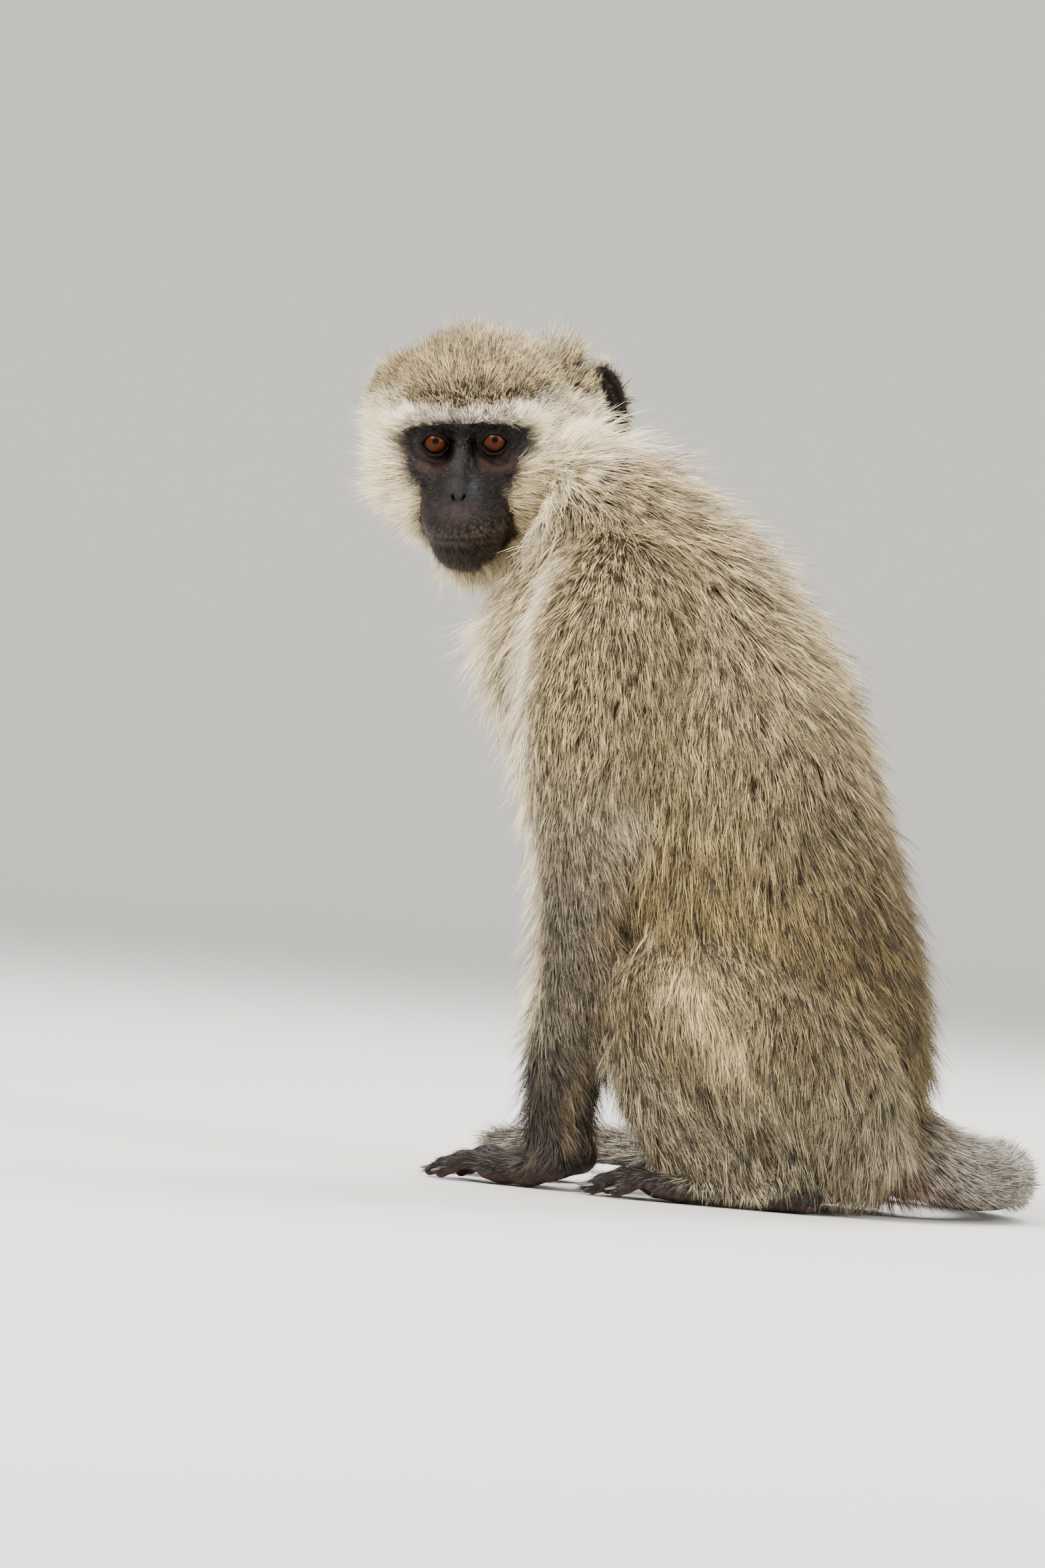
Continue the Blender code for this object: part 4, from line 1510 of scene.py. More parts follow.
@dataclass
class Groomer:
    """The Geometry Nodes tree that roots locks all over a piece of skin.

    Attributes:
        patch: Size of a lock's patch on the map of the piece.
        sink: How deep the locks are rooted, in metres.
        floor: Lowest height of a hair, in metres.
    """

    patch: float = 0.003
    sink: float = 0.0006
    floor: float = 0.0004

    INPUTS = {
        "Spacing": "Float",
        "Length": "Float",
        "Lift": "Float",
        "Jitter": "Float",
        "Softness": "Float",
        "Seed": "Int",
        "Locks": "Collection",
        "Finish": "Material",
    }
    ATTRIBUTES = (  # what is read from the skin and the locks
        ("FLOAT_VECTOR", ("upright", "lie", "root", "spot")),
        ("FLOAT", ("lift", "length", "density")),
    )

    def build(self) -> NodeTree:
        """Builds the tree.

        Returns:
            The tree.
        """
        tree = bpy.data.node_groups.new("groom", "GeometryNodeTree")
        for way in ("INPUT", "OUTPUT"):
            tree.interface.new_socket("Geometry", in_out=way, socket_type="NodeSocketGeometry")
        for name, kind in self.INPUTS.items():
            tree.interface.new_socket(name, in_out="INPUT", socket_type=f"NodeSocket{kind}")
        self.add = partial(add_node, tree)
        self.given = {socket.name: socket for socket in tree.nodes.new("NodeGroupInput").outputs}
        for kind, names in self.ATTRIBUTES:
            for name in names:
                read = self.add("GeometryNodeInputNamedAttribute", {"data_type": kind}, Name=name)
                self.given[name] = read
        locks = self.locks(self.roots())
        out = tree.nodes.new("NodeGroupOutput")
        tree.links.new(self.finished(locks), out.inputs[0])
        return tree

    def roots(self) -> NodeSocket:
        """Scatters the roots, an even distance apart.

        Returns:
            Their points.
        """
        add, given = self.add, self.given
        room = add(MATH, TIMES, Value=given["Spacing"], Value_001=given["Spacing"])
        points = add(
            "GeometryNodeDistributePointsOnFaces",
            {"distribute_method": "POISSON"},
            Mesh=given["Geometry"],
            Distance_Min=given["Spacing"],
            Density_Max=add(MATH, {"operation": "DIVIDE"}, Value=2.0, Value_001=room),
            Density_Factor=given["density"],
            Seed=given["Seed"],
        )
        down = add(VECTORS, SCALE, Vector=given["upright"], Scale=-self.sink)
        sunk = add("GeometryNodeSetPosition", Geometry=points, Offset=down)
        luck = add(RANDOM, Seed=11)
        return add("GeometryNodeStoreNamedAttribute", Geometry=sunk, Name="chance", Value=luck)

    def locks(self, roots: NodeSocket) -> NodeSocket:
        """Turns a lock along the coat at each root.

        Args:
            roots: The points of the roots.

        Returns:
            The locks, as a mesh.
        """
        add, given = self.add, self.given
        some = add(RANDOM, Min_001=0.72, Max_001=1.28, Seed=12)
        lift = add(MATH, TIMES, Value=given["lift"], Value_001=given["Lift"])
        lift = add(MATH, TIMES, Value=lift, Value_001=some)
        level = add(MATH, {"operation": "COSINE"}, Value=lift)
        rise = add(MATH, {"operation": "SINE"}, Value=lift)
        flat = add(VECTORS, SCALE, Vector=given["lie"], Scale=level)
        up = add(VECTORS, SCALE, Vector=given["upright"], Scale=rise)
        stray = add(RANDOM, {"data_type": "FLOAT_VECTOR"}, Min=(-1,) * 3, Max=(1,) * 3, Seed=13)
        stray = add(VECTORS, SCALE, Vector=stray, Scale=given["Jitter"])
        way = add(VECTORS, Vector=flat, Vector_001=up)
        way = add(VECTORS, Vector=way, Vector_001=stray)
        axes = {"primary_axis": "Y", "secondary_axis": "Z"}
        turn = add("FunctionNodeAxesToRotation", axes, Primary_Axis=way, Secondary_Axis=given["upright"])
        some = add(RANDOM, Min_001=0.7 * MM, Max_001=1.22 * MM, Seed=14)
        long = add(MATH, TIMES, Value=given["length"], Value_001=given["Length"])
        long = add(MATH, TIMES, Value=long, Value_001=some)
        wide = add(RANDOM, Min_001=0.8 * MM, Max_001=1.2 * MM, Seed=15)
        size = add("ShaderNodeCombineXYZ", X=wide, Y=long, Z=long)
        placed = add(
            "GeometryNodeInstanceOnPoints",
            Points=roots,
            Instance=add(
                "GeometryNodeCollectionInfo",
                Collection=given["Locks"],
                Separate_Children=True,
                Reset_Children=True,
            ),
            Pick_Instance=True,
            Instance_Index=add(RANDOM, {"data_type": "INT"}, Min_002=0, Max_002=VARIANTS - 1, Seed=16),
            Rotation=turn,
            Scale=size,
        )
        return add("GeometryNodeRealizeInstances", Geometry=placed)

    def finished(self, locks: NodeSocket) -> NodeSocket:
        """Keeps the hair off the floor, maps each lock, softens its shading and gives it its finish.

        Args:
            locks: The locks.

        Returns:
            The finished coat.
        """
        add, given = self.add, self.given
        place = add("ShaderNodeSeparateXYZ", Vector=add("GeometryNodeInputPosition"))
        x, y, z = place.node.outputs
        above = add(MATH, {"operation": "MAXIMUM"}, Value=z, Value_001=self.floor)
        where = add("ShaderNodeCombineXYZ", X=x, Y=y, Z=above)
        clear = add("GeometryNodeSetPosition", Geometry=locks, Position=where)
        middle = add(VECTORS, Vector=given["spot"], Vector_001=(-0.5, -0.5, 0.0))
        small = add(VECTORS, SCALE, Vector=middle, Scale=self.patch)
        on_map = add(VECTORS, Vector=given["root"], Vector_001=small)
        corners = {"data_type": "FLOAT2", "domain": "CORNER"}
        mapped = add("GeometryNodeStoreNamedAttribute", corners, Geometry=clear, Name="OFBake", Value=on_map)
        soft = add(
            MIX,
            {"data_type": "VECTOR"},
            Factor_Float=given["Softness"],
            A_Vector=add("GeometryNodeInputNormal"),
            B_Vector=given["upright"],
        )
        free = {"mode": "FREE", "domain": "POINT"}
        shaded = add("GeometryNodeSetMeshNormal", free, Mesh=mapped, Custom_Normal=soft)
        return add("GeometryNodeSetMaterial", Geometry=shaded, Material=given["Finish"])


class Zone(Enum):
    """Patches of skin whose coat is a piece, or two, of its own."""

    CROWN = 0
    CHEEKS = 1
    MANTLE = 2
    BACK = 3
    FRONT = 4
    ARMS = 5
    LEGS = 6
    TAIL = 7
    PAWS = 8
    FACE = 9


@dataclass(frozen=True)
class Layer:
    """A coat piece: one kind of lock on one patch of skin.

    Attributes:
        name: Name of the piece.
        zone: Its patch of skin.
        spacing: Distance between locks, in mm.
        lock: The kind of lock.
        length: Share of the hair's length on the skin.
        lift: Share of its lift.
        jitter: How much the locks stray from the lie.
    """

    name: str
    zone: Zone
    spacing: float
    lock: Lock
    length: float = 1.0
    lift: float = 1.0
    jitter: float = 0.13


@dataclass
class Coat:
    """The coat, in pieces that root on patches of the skin.

    Attributes:
        surface: The skin's vertices.
        finish: The hair's material.
        mantle: Height over which the trunk's coat is the mantle, in mm.
        ahead: How far forward the trunk's skin faces where its coat is the front's.
        softness: How much the shading of a hair follows that of the skin.
        margin: Edge left free on the map of a piece.
    """

    surface: Surface
    finish: Material
    mantle: float = 235.0
    ahead: float = 0.35
    softness: float = 0.42
    margin: float = 0.003

    LAYERS = (
        Layer("coat_face", Zone.FACE, 0.8, Lock(3, 0.24, 0.9, 0.05, 0.15, 1), jitter=0.3),
        Layer("coat_crown", Zone.CROWN, 1.4, Lock(6, 0.42, 1.5, 0.16, 0.05, 1), 0.9, 0.95, 0.3),
        Layer("coat_crown_guard", Zone.CROWN, 2.4, Lock(2, 0.42, 1.2, 0.25, 0.3), 1.15, 1.15, 0.4),
        Layer("coat_cheeks", Zone.CHEEKS, 1.55, Lock(7, 0.34, 1.9, 0.12, 0.05, 1), 0.9, 0.95, 0.2),
        Layer("coat_whiskers", Zone.CHEEKS, 2.2, Lock(3, 0.4, 1.3, 0.16, 0.3), 1.05, 1.1, 0.24),
        Layer("coat_mantle", Zone.MANTLE, 2.0, Lock(8, 0.37, 2.7, 0.14, 0.05, 1), 0.85, 0.85, 0.26),
        Layer("coat_mantle_guard", Zone.MANTLE, 2.9, Lock(3, 0.45, 1.6, 0.14), 1.15, 1.3, 0.2),
        Layer("coat_back", Zone.BACK, 2.3, Lock(8, 0.39, 3.0, 0.13, 0.05, 1), 0.85, 0.85, 0.24),
        Layer("coat_back_guard", Zone.BACK, 3.3, Lock(3, 0.5, 1.8, 0.13), 1.15, 1.25, 0.18),
        Layer("coat_front", Zone.FRONT, 2.3, Lock(8, 0.4, 2.1, 0.14, 0.05, 1), 0.9, 0.9, 0.17),
        Layer("coat_front_guard", Zone.FRONT, 3.2, Lock(3, 0.42, 1.6, 0.16), 1.15, 1.4, 0.24),
        Layer("coat_arms", Zone.ARMS, 2.3, Lock(7, 0.37, 2.7, 0.14, 0.05, 1), 0.85, 0.85, 0.26),
        Layer("coat_arms_guard", Zone.ARMS, 3.3, Lock(3, 0.45, 1.5, 0.14), 1.15, 1.25, 0.2),
        Layer("coat_legs", Zone.LEGS, 2.4, Lock(7, 0.39, 2.9, 0.13, 0.05, 1), 0.85, 0.85, 0.24),
        Layer("coat_legs_guard", Zone.LEGS, 3.4, Lock(3, 0.48, 1.6, 0.14), 1.15, 1.25, 0.2),
        Layer("coat_tail", Zone.TAIL, 2.2, Lock(7, 0.39, 1.9, 0.12, 0.05, 1), 0.9, 0.9, 0.15),
        Layer("coat_tail_guard", Zone.TAIL, 3.4, Lock(2, 0.44, 1.4, 0.13), 1.15, 1.25, 0.18),
        Layer("coat_paws", Zone.PAWS, 1.3, Lock(3, 0.36, 0.9, 0.06, 0.15, 1)),
    )

    def zones(self) -> Array:
        """Finds the zone of each vertex of the skin.

        Returns:
            The zones' numbers.
        """
        surface = self.surface
        kinds, height = surface.kinds, surface.points[:, 2]
        trunk = np.isin(kinds, ("trunk", "neck"))
        found = np.full(len(kinds), Zone.CHEEKS.value)
        for zone, where in (
            (Zone.CROWN, np.isin(kinds, ("head", "ear")) & (surface.shares["crown"] > 0.5)),
            (Zone.BACK, trunk),
            (Zone.MANTLE, trunk & (height > self.mantle)),
            (Zone.FRONT, trunk & (-surface.normals[:, 1] > self.ahead)),
            (Zone.ARMS, np.isin(kinds, ("upper_arm", "forearm"))),
            (Zone.LEGS, np.isin(kinds, ("thigh", "shank"))),
            (Zone.TAIL, np.isin(kinds, TAIL)),
            (Zone.PAWS, np.isin(kinds, ("hand", "foot"))),
            (Zone.FACE, surface.face > 0.5),
        ):
            found[where] = zone.value
        return found

    def patch(self, zone: Zone, zones: Array) -> Object:
        """Copies a patch of skin with its attributes, and unwraps it by its own shape.

        Args:
            zone: Which patch.
            zones: The zone of each vertex.

        Returns:
            The patch.
        """
        obj = in_scene(f"patch_{zone.name.lower()}", self.surface.skin.data.copy())
        obj.data.materials.clear()
        with opened(obj.data) as bm:
            away = [face for face in bm.faces if zones[face.verts[0].index] != zone.value]
            bmesh.ops.delete(bm, geom=away, context="FACES")
        obj.data.uv_layers.new(name="root")
        bpy.context.view_layer.objects.active = obj
        obj.select_set(True)
        bpy.ops.object.mode_set(mode="EDIT")
        bpy.ops.mesh.select_all(action="SELECT")
        bpy.ops.uv.smart_project(angle_limit=radians(72), margin_method="ADD", island_margin=0.0003)
        bpy.ops.object.mode_set(mode="OBJECT")
        obj.select_set(False)
        self.fill_map(obj.data)
        return obj

    def fill_map(self, mesh: Mesh) -> None:
        """Stretches a mesh's unwrap so that it fills the map.

        Args:
            mesh: The mesh.
        """
        layer = mesh.uv_layers["root"].uv
        places = gathered(layer, "vector", 2)
        places -= places.min(axis=0)
        room = 1 - 2 * self.margin
        layer.foreach_set("vector", (self.margin + room * places / places.max(axis=0)).ravel())

    def grow(self, layer: Layer, patch: Object, tree: NodeTree) -> Object:
        """Grows one coat piece on its patch.

        Args:
            layer: What to grow.
            patch: Its patch of skin.
            tree: The grooming tree.

        Returns:
            The piece.
        """
        obj = in_scene(layer.name, patch.data)
        locks = layer.lock.variants(f"{layer.name}_locks")
        groom = obj.modifiers.new("groom", "NODES")
        groom.node_group = tree
        given = {
            "Spacing": layer.spacing * MM,
            "Length": layer.length,
            "Lift": layer.lift,
            "Jitter": layer.jitter,
            "Softness": self.softness,
            "Seed": len(layer.name) + layer.zone.value,
            "Locks": locks,
            "Finish": self.finish,
        }
        for socket in tree.interface.items_tree:
            if socket.in_out == "INPUT" and socket.name in given:
                groom[socket.identifier] = given[socket.name]
        apply_modifiers(obj)
        for lock in list(locks.objects):
            bpy.data.objects.remove(lock)
        bpy.data.collections.remove(locks)
        return obj

    def build(self) -> None:
        """Grows all the coat's pieces."""
        zones = self.zones()
        tree = Groomer().build()
        patches: dict = {}
        for layer in self.LAYERS:
            if layer.zone not in patches:
                patches[layer.zone] = self.patch(layer.zone, zones)
            piece = self.grow(layer, patches[layer.zone], tree)
            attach(piece, ROOT)
            log.info("%s: %d triangles", piece.name, triangles(piece))
        for patch in patches.values():
            bpy.data.objects.remove(patch)


def triangles(obj: Object) -> int:
    """Number of triangles in an object's mesh."""
    return len(obj.data.loops) - 2 * len(obj.data.polygons)


@dataclass
class Eyes:
    """Both eyeballs, with a raised cornea, looking the same way.

    Attributes:
        radius: Radius of an eyeball in mm.
        cornea: How far the cornea stands out, in mm.
        azimuth: Direction of the look, in degrees from the front of the model to its left.
        cap: Angle from the middle of the iris to the cornea's edge, in radians.
        segments: Number of faces round an eyeball.
        rings: Number of faces from front to back.
    """

    radius: float = 9.6
    cornea: float = 1.0
    azimuth: float = 98.0
    cap: float = 0.66
    segments: int = 48
    rings: int = 28

    def build(self) -> Object:
        """Makes the eyeballs, with each point's place from the middle of its own iris.

        Returns:
            Both as one object.
        """
        turn = radians(self.azimuth)
        out = Vector((sin(turn), -cos(turn), 0))
        across = Vector((0, 0, 1)).cross(out).normalized()
        frame_of = Matrix((across, Vector((0, 0, 1)), out)).transposed()
        points, faces, places = [], [], []
        for side in ("left", "right"):
            centre = sum(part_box(f"eye_{side}"), Vector()) / 2 / MM
            first = len(points)
            for ring in range(self.rings + 1):
                tilt = pi * (ring / self.rings) ** 1.5
                radius = self.radius + self.cornea * max(0.0, 1 - (tilt / self.cap) ** 2) ** 1.6
                aside, ahead = sin(tilt), cos(tilt)
                for number in range(1 if ring in (0, self.rings) else self.segments):
                    angle = 2 * pi * number / self.segments
                    local = Vector((aside * cos(angle), aside * sin(angle), ahead))
                    points.append(tuple(centre + frame_of @ local * radius))
                    places.append(tuple(local * self.radius))
            rows = [first + 1 + ring * self.segments for ring in range(self.rings - 1)]
            for number in range(self.segments):
                after = (number + 1) % self.segments
                faces.append((first, rows[0] + number, rows[0] + after))
                for row, lower in zip(rows, rows[1:]):
                    faces.append((row + number, lower + number, lower + after, row + after))
                faces.append((rows[-1] + after, rows[-1] + number, len(points) - 1))
        obj = mesh_object("eyes", np.array(points), faces)
        store(obj.data, "iris", places, "FLOAT_VECTOR")
        return obj


@dataclass
class Nails:
    """The nails of all the fingers and toes.

    Attributes:
        half_angle: How far a nail wraps round its digit on each side, in degrees.
        thickness: In mm.
        proud: How far a nail stands over the skin, in mm.
        reach: Where a nail starts and how long it is, as shares of the digit's radius.
        across: Number of points across a nail.
        along: Number of points along it.
    """

    half_angle: float = 58.0
    thickness: float = 0.6
    proud: float = 0.25
    reach: tuple = (-0.9, 2.6)
    across: int = 7
    along: int = 7

    def plate(self, chain: Array, radius: float) -> tuple:
        """One nail on the end of a digit.

        Args:
            chain: Middles of the digit's joints.
            radius: Radius of the digit's end.

        Returns:
            Points and faces of a closed plate.
        """
        way = (chain[3] - chain[2]) / np.linalg.norm(chain[3] - chain[2])
        way = way + way * (1, 1, 0)  # halfway to level
        way = way / np.linalg.norm(way)
        side = np.cross(way, (0, 0, 1))
        side /= np.linalg.norm(side)
        up = np.cross(side, way)
        points = []
        for layer in (self.proud, self.proud - self.thickness):
            for j in range(self.along):
                v = j / (self.along - 1)
                reach = self.reach[0] * radius + self.reach[1] * radius * v
                wrap = radians(self.half_angle) * (1 - 0.55 * v**3)
                size = radius * (1 - 0.10 * v**2) + layer
                for i in range(self.across):
                    angle = wrap * (2 * i / (self.across - 1) - 1)
                    around = up * cos(angle) + side * sin(angle)
                    points.append(chain[3] + way * reach + around * size)
        n, count = self.across, self.across * self.along
        cells = np.arange(count).reshape(self.along, n)
        faces = []
        for j in range(self.along - 1):
            for i in range(n - 1):
                quad = (cells[j, i], cells[j, i + 1], cells[j + 1, i + 1], cells[j + 1, i])
                faces.append(quad)
                faces.append(tuple(count + k for k in reversed(quad)))
        rim = [*cells[0], *cells[1:, -1], *cells[-1, -2::-1], *cells[-2:0:-1, 0]]
        for a, b in zip(rim, rim[1:] + rim[:1]):
            faces.append((b, a, count + a, count + b))
        return np.array(points), faces

    def build(self) -> Object:
        """Makes all twenty nails.

        Returns:
            One object of them all.
        """
        points, faces = [], []
        for paw in (HAND, FOOT):
            for side in BOTH:
                matrix = np.array(paw.to_model(side))
                for chain in paw.chains():
                    found, cells = self.plate(chain, 0.66 * paw.girth)
                    start = sum(len(block) for block in points)
                    points.append(found @ matrix[:3, :3].T + matrix[:3, 3])
                    faces += [tuple(start + k for k in cell) for cell in cells]
        obj = mesh_object("nails", np.concatenate(points), faces)
        with opened(obj.data) as bm:
            bmesh.ops.recalc_face_normals(bm, faces=bm.faces)
        return obj


def new_material(name: str) -> tuple:
    """Starts a material.

    Args:
        name: Its name.

    Returns:
        The material, its Principled shader, and what adds a node to its tree.
    """
    material = bpy.data.materials.new(name)
    material.use_nodes = True
    return material, material.node_tree.nodes["Principled BSDF"], partial(add_node, material.node_tree)


@dataclass(frozen=True)
class Hair:
    """Keratin hair, grown and uncut: a soft gloss along it, dark roots, pale tips, some with a dark band.

    Attributes:
        roughness: Of the hair.
        shade: Darkest and lightest a hair may be, as a share of its colour.
        dark: Colour of the dark bands.
        band: Half the length of a band, as a share of the hair's.
        depth: How much of the hair's own colour a band covers.
    """

    roughness: float = 0.55
    shade: tuple = (0.4, 1.5)
    dark: str = "#1c1612"
    band: float = 0.2
    depth: float = 0.85

    def build(self) -> Material:
        """Makes the material, whose colours come from the skin under each lock.

        Returns:
            The material.
        """
        material, shader, add = new_material("keratin_hair")
        along, strand, chance, grizzle = (
            add(READ, {"attribute_name": name}, "Fac") for name in ("along", "strand", "chance", "grizzle")
        )
        under, over = (add(READ, {"attribute_name": name}, "Color") for name in ("under", "over"))
        root = add(RANGE, EASED, Value=along, From_Min=0.1, From_Max=0.65)
        body = add(MIX, COLOURS, Factor_Float=root, A_Color=under, B_Color=over)
        mixed = add(MATH, TIMES_PLUS, Value=strand, Value_001=5.0, Value_002=chance)
        luck = add(MATH, {"operation": "FRACT"}, Value=mixed)
        pick = add(MATH, {"operation": "LESS_THAN"}, Value=strand, Value_001=grizzle)
        middle = add(RANGE, Value=luck, To_Min=0.2, To_Max=1.0)
        band = add(MATH, {"operation": "COMPARE"}, Value=along, Value_001=middle, Value_002=self.band)
        part = add(MATH, TIMES, Value=pick, Value_001=band)
        part = add(MATH, TIMES, Value=part, Value_001=self.depth)
        banded = add(MIX, COLOURS, Factor_Float=part, A_Color=body, B_Color=linear(self.dark, 1))
        whole = add(MATH, TIMES_PLUS, Value=chance, Value_001=0.7, Value_002=luck)
        tone = add(RANGE, Value=whole, From_Max=1.7, To_Min=self.shade[0], To_Max=self.shade[1])
        shade = add("ShaderNodeCombineColor", Red=tone, Green=tone, Blue=tone)
        final = add(MIX, TINTED, Factor_Float=1.0, A_Color=banded, B_Color=shade)
        fill(shader, Base_Color=final, Roughness=self.roughness, IOR=1.55, Specular_IOR_Level=0.3)
        return material


@dataclass(frozen=True)
class Hide:
    """Living skin: matt, blotched and finely creased where it is bare, and dull under the coat.

    Attributes:
        crease: Distance between the fine creases, in mm.
        pore: Distance between pores, in mm, drawn about twice as coarse as they are so that they show.
        mottle: Size of the blotches, in mm.
        relief: Depth of the creases, in mm.
    """

    crease: float = 1.3
    pore: float = 0.55
    mottle: float = 3.2
    relief: float = 0.4

    def build(self) -> Material:
        """Makes the material, whose colours are stored on the skin.

        Returns:
            The material.
        """
        material, shader, add = new_material("bare_hide")
        place = add("ShaderNodeTexCoord", output="Object")
        tone = add(READ, {"attribute_name": "tone"}, "Color")
        blotch = add(NOISE, Vector=place, Scale=1 / (self.mottle * MM), Detail=4.0, Roughness=0.6)
        shade = add(RANGE, Value=blotch, From_Min=0.3, From_Max=0.7, To_Min=0.5, To_Max=1.5)
        grey = add("ShaderNodeCombineColor", Red=shade, Green=shade, Blue=shade)
        colour = add(MIX, TINTED, Factor_Float=1.0, A_Color=tone, B_Color=grey)
        edges = {"feature": "DISTANCE_TO_EDGE"}
        creases = add("ShaderNodeTexVoronoi", edges, Vector=place, Scale=1 / (self.crease * MM))
        pores = add(NOISE, Vector=place, Scale=1 / (self.pore * MM), Detail=3.0)
        height = add(MATH, TIMES_PLUS, Value=creases, Value_001=0.6, Value_002=pores)
        bump = add("ShaderNodeBump", Height=height, Strength=0.9, Distance=self.relief * MM)
        gloss = add(RANGE, Value=blotch, To_Min=0.5, To_Max=0.75)
        fill(shader, Base_Color=colour, Normal=bump, Roughness=gloss, IOR=1.45, Specular_IOR_Level=0.12)
        return material


@dataclass(frozen=True)
class Eyeball:
    """A wet eye: brown iris with fibres, dark rim and dark white, under a clear film that glints.

    Attributes:
        iris: Radius of the iris in mm.
        pupil: Radius of the pupil in mm.
    """

    iris: float = 5.6
    pupil: float = 1.4

    def build(self) -> Material:
        """Makes the material, which reads each point's place from the middle of the iris.

        Returns:
            The material.
        """
        material, shader, add = new_material("wet_eye")
        place = add(READ, {"attribute_name": "iris"}, "Vector")
        flat = add(VECTORS, TIMES, Vector=place, Vector_001=(1, 1, 0))
        reach = add(VECTORS, {"operation": "LENGTH"}, Vector=flat)
        spoke = add(VECTORS, {"operation": "NORMALIZE"}, Vector=flat)
        fibre = add(NOISE, Vector=spoke, Scale=9.0, Detail=4.0, Roughness=0.7)
        brown = {"A_Color": linear("#180902", 1), "B_Color": linear("#48200a", 1)}
        colour = add(MIX, COLOURS, Factor_Float=fibre, **brown)
        for low, high, tone in (
            (self.pupil + 0.2, self.pupil - 0.2, "#040202"),  # pupil
            (self.iris - 1.8, self.iris - 0.3, "#0e0502"),  # dark ring of the iris
            (self.iris - 0.1, self.iris + 0.4, "#1b1310"),  # edge of the white
            (self.iris + 0.8, self.iris + 2.0, "#0d0908"),  # white, which is dark
        ):
            edge = add(RANGE, EASED, Value=reach, From_Min=low, From_Max=high)
            colour = add(MIX, COLOURS, Factor_Float=edge, A_Color=colour, B_Color=linear(tone, 1))
        fill(shader, Base_Color=colour, Roughness=0.4, IOR=1.38, Specular_IOR_Level=0.05)
        fill(shader, Coat_Weight=0.18, Coat_Roughness=0.02, Coat_IOR=1.38)
        return material


@dataclass(frozen=True)
class Horn:
    """Nail horn, grown and worn smooth: dark, clouded, a little shiny.

    Attributes:
        dark: Its darkest colour.
        light: Its lightest.
        ridge: Distance between its ridges, in mm.
    """

    dark: str = "#2b2827"
    light: str = "#6d686c"
    ridge: float = 0.5

    def build(self) -> Material:
        """Makes the material.

        Returns:
            The material.
        """
        material, shader, add = new_material("nail_horn")
        place = add("ShaderNodeTexCoord", output="Object")
        cloud = add(NOISE, Vector=place, Scale=1 / (self.ridge * MM), Detail=3.0)
        tones = {"A_Color": linear(self.dark, 1), "B_Color": linear(self.light, 1)}
        colour = add(MIX, COLOURS, Factor_Float=cloud, **tones)
        bump = add("ShaderNodeBump", Height=cloud, Strength=0.2, Distance=0.1 * MM)
        fill(shader, Base_Color=colour, Normal=bump, Roughness=0.35, IOR=1.55)
        return material


@dataclass(frozen=True)
class Paper:
    """Studio paper, rolled: matt, so that it only takes soft shadows.

    Attributes:
        colour: Its colour.
    """

    colour: str = "#c9c8c4"

    def build(self) -> Material:
        """Makes the material.

        Returns:
            The material.
        """
        material, shader, _ = new_material("studio_paper")
        fill(shader, Base_Color=linear(self.colour, 1), Roughness=0.9)
        return material


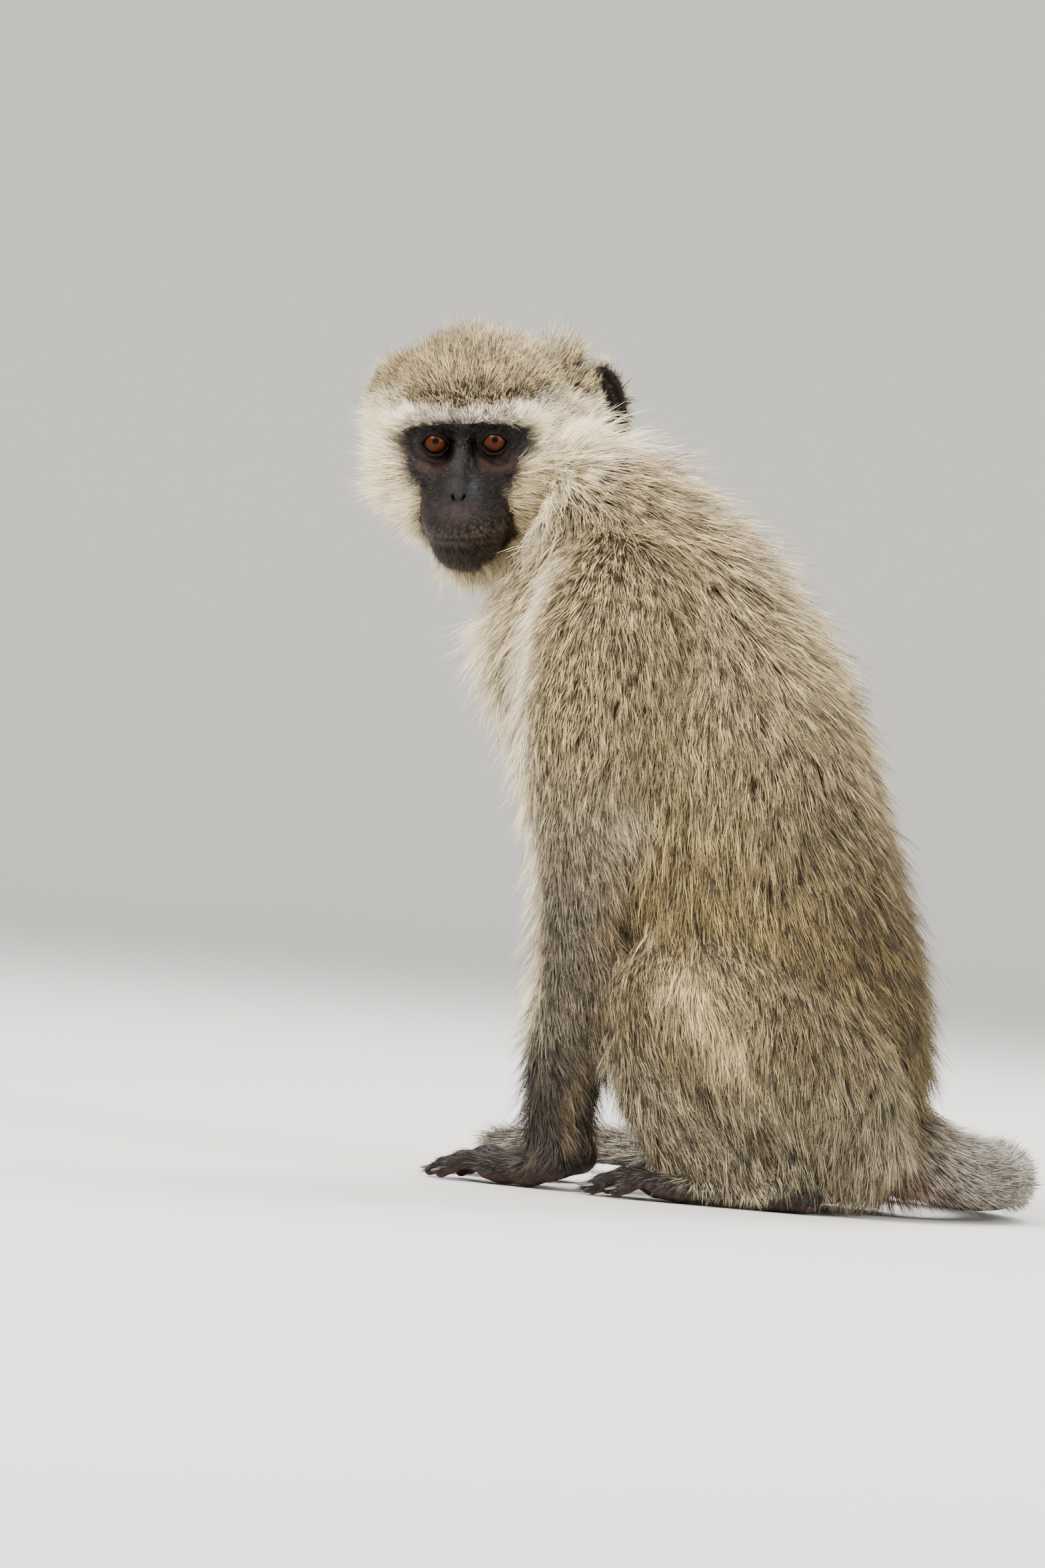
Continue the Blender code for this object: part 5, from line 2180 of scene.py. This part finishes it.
@dataclass
class Studio:
    """A bowl of pale paper round the model, soft lights and the camera.

    Attributes:
        azimuth: Direction of the camera, in degrees from the front of the model to its left.
        roll: Degrees that the camera leans.
        target: Point in the middle of the picture, in mm.
        distance: Distance of the camera in metres.
        height: Height of the picture at the target, in metres.
        sensor: Height of the camera's sensor, in mm.
        floor: Radius of the flat floor, in metres.
        bend: Radius of the curve from the floor to the wall, in metres.
        wall: Height of the wall, in metres.
        around: Number of faces round the bowl.
        sky: Colour of the light from all round.
        glow: Its strength.
    """

    azimuth: float = 98.0
    roll: float = 5.0
    target: tuple = (14.8, -143.1, 192.6)
    distance: float = 4.0
    height: float = 0.7587
    sensor: float = 36.0
    floor: float = 5.0
    bend: float = 1.5
    wall: float = 4.0
    around: int = 96
    sky: str = "#f4f4f4"
    glow: float = 1.8

    LIGHTS = (  # name; right, up and towards the camera in metres; side in metres; watts; colour
        ("key", (-1.5, 2.2, 1.7), 1.3, 235, "#fff8f0"),
        ("fill", (1.9, 0.9, 1.6), 1.6, 64, "#ffffff"),
        ("rim", (0.8, 1.9, -1.8), 1.2, 130, "#fffcf6"),
    )

    def axes(self) -> Matrix:
        """Finds how the camera is turned.

        Returns:
            Its right, up and back as the columns of a matrix.
        """
        turn, lean = radians(self.azimuth), radians(self.roll)
        back = Vector((sin(turn), -cos(turn), 0))
        level = Vector((0, 0, 1)).cross(back)
        right = level * cos(lean) + Vector((0, 0, 1)) * sin(lean)
        return Matrix((right, back.cross(right), back)).transposed()

    def camera(self) -> None:
        """Places the camera."""
        data = bpy.data.cameras.new("camera")
        camera = in_scene("camera", data)
        matrix = self.axes().to_4x4()
        matrix.translation = Vector(self.target) * MM + self.axes().col[2] * self.distance
        camera.matrix_world = matrix
        data.sensor_fit = "VERTICAL"
        data.sensor_height = self.sensor
        data.lens = self.sensor * self.distance / self.height
        data.clip_end = 50
        bpy.context.scene.camera = camera

    def light(self, name: str, place: tuple, size: float, power: float, colour: str) -> None:
        """Hangs a soft light that faces the model.

        Args:
            name: Its name.
            place: Right, up and towards the camera from the model, in metres.
            size: Side of the light in metres.
            power: In watts.
            colour: As hex.
        """
        data = bpy.data.lights.new(name, "AREA")
        data.size = size
        data.energy = power
        data.color = linear(colour)
        middle = Vector(self.target) * MM
        right, _, back = self.axes().col
        spot = middle + right * place[0] + Vector((0, 0, 1)) * place[1] + back * place[2]
        turn = (spot - middle).to_track_quat("Z", "Y").to_matrix().to_4x4()
        in_scene(name, data).matrix_world = Matrix.Translation(spot) @ turn

    def paper(self) -> None:
        """Makes the floor, which curves up into a wall all round."""
        profile = [(share * self.floor, 0.0) for share in (0.3, 0.7, 1.0)]
        for angle in np.linspace(0.1, pi / 2, 14):
            height = self.bend - self.bend * cos(angle)
            profile.append((self.floor + self.bend * sin(angle), height))
        profile.append((self.floor + self.bend, self.wall))
        points, faces, around = [(0.0, 0.0, 0.0)], [], self.around
        for radius, height in profile:
            for k in range(around):
                angle = 2 * pi * k / around
                points.append((radius * cos(angle), radius * sin(angle), height))
        for k in range(around):
            after = (k + 1) % around
            faces.append((0, 1 + k, 1 + after))
            for first in range(1, 1 + (len(profile) - 1) * around, around):
                second = first + around
                faces.append((first + k, second + k, second + after, first + after))
        mesh = bpy.data.meshes.new("paper")
        mesh.from_pydata(points, [], faces)
        mesh.shade_smooth()
        mesh.materials.append(Paper().build())
        in_scene("paper", mesh)

    def build(self) -> None:
        """Sets up the paper, the lights and the camera."""
        self.paper()
        self.camera()
        for row in self.LIGHTS:
            self.light(*row)
        world = bpy.data.worlds.new("studio")
        world.use_nodes = True
        fill(world.node_tree.nodes["Background"], Color=linear(self.sky, 1), Strength=self.glow)
        bpy.context.scene.world = world


def build_skin(place: Matrix) -> Object:
    """Makes the one skin of the whole body.

    Args:
        place: Takes the head's own frame to the model's, in mm.

    Returns:
        The skin.
    """
    torso = Torso().build()
    skin = union(torso, [HeadShape().build(place), *HAND.build(), *FOOT.build()])
    skin.name = "skin"
    skin.data.materials.clear()
    skin.data.shade_smooth()
    return skin


def main() -> None:
    """Builds the monkey and its studio."""
    logging.basicConfig(level=logging.INFO, format="%(message)s", force=True)
    place = head_place()
    skin = build_skin(place)
    surface = Surface(skin, place)
    surface.read()
    surface.write()
    skin.data.materials.append(Hide().build())
    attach(skin, ROOT)
    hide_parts(*FLESH)
    log.info("skin: %d triangles", triangles(skin))
    eyes = Eyes().build()
    eyes.data.materials.append(Eyeball().build())
    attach(eyes, ROOT)
    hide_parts("eye_left", "eye_right")
    log.info("eyes: %d triangles", triangles(eyes))
    nails = Nails().build()
    nails.data.materials.append(Horn().build())
    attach(nails, ROOT)
    log.info("nails: %d triangles", triangles(nails))
    Coat(surface, Hair().build()).build()
    Studio().build()


if __name__ == "__main__":
    main()
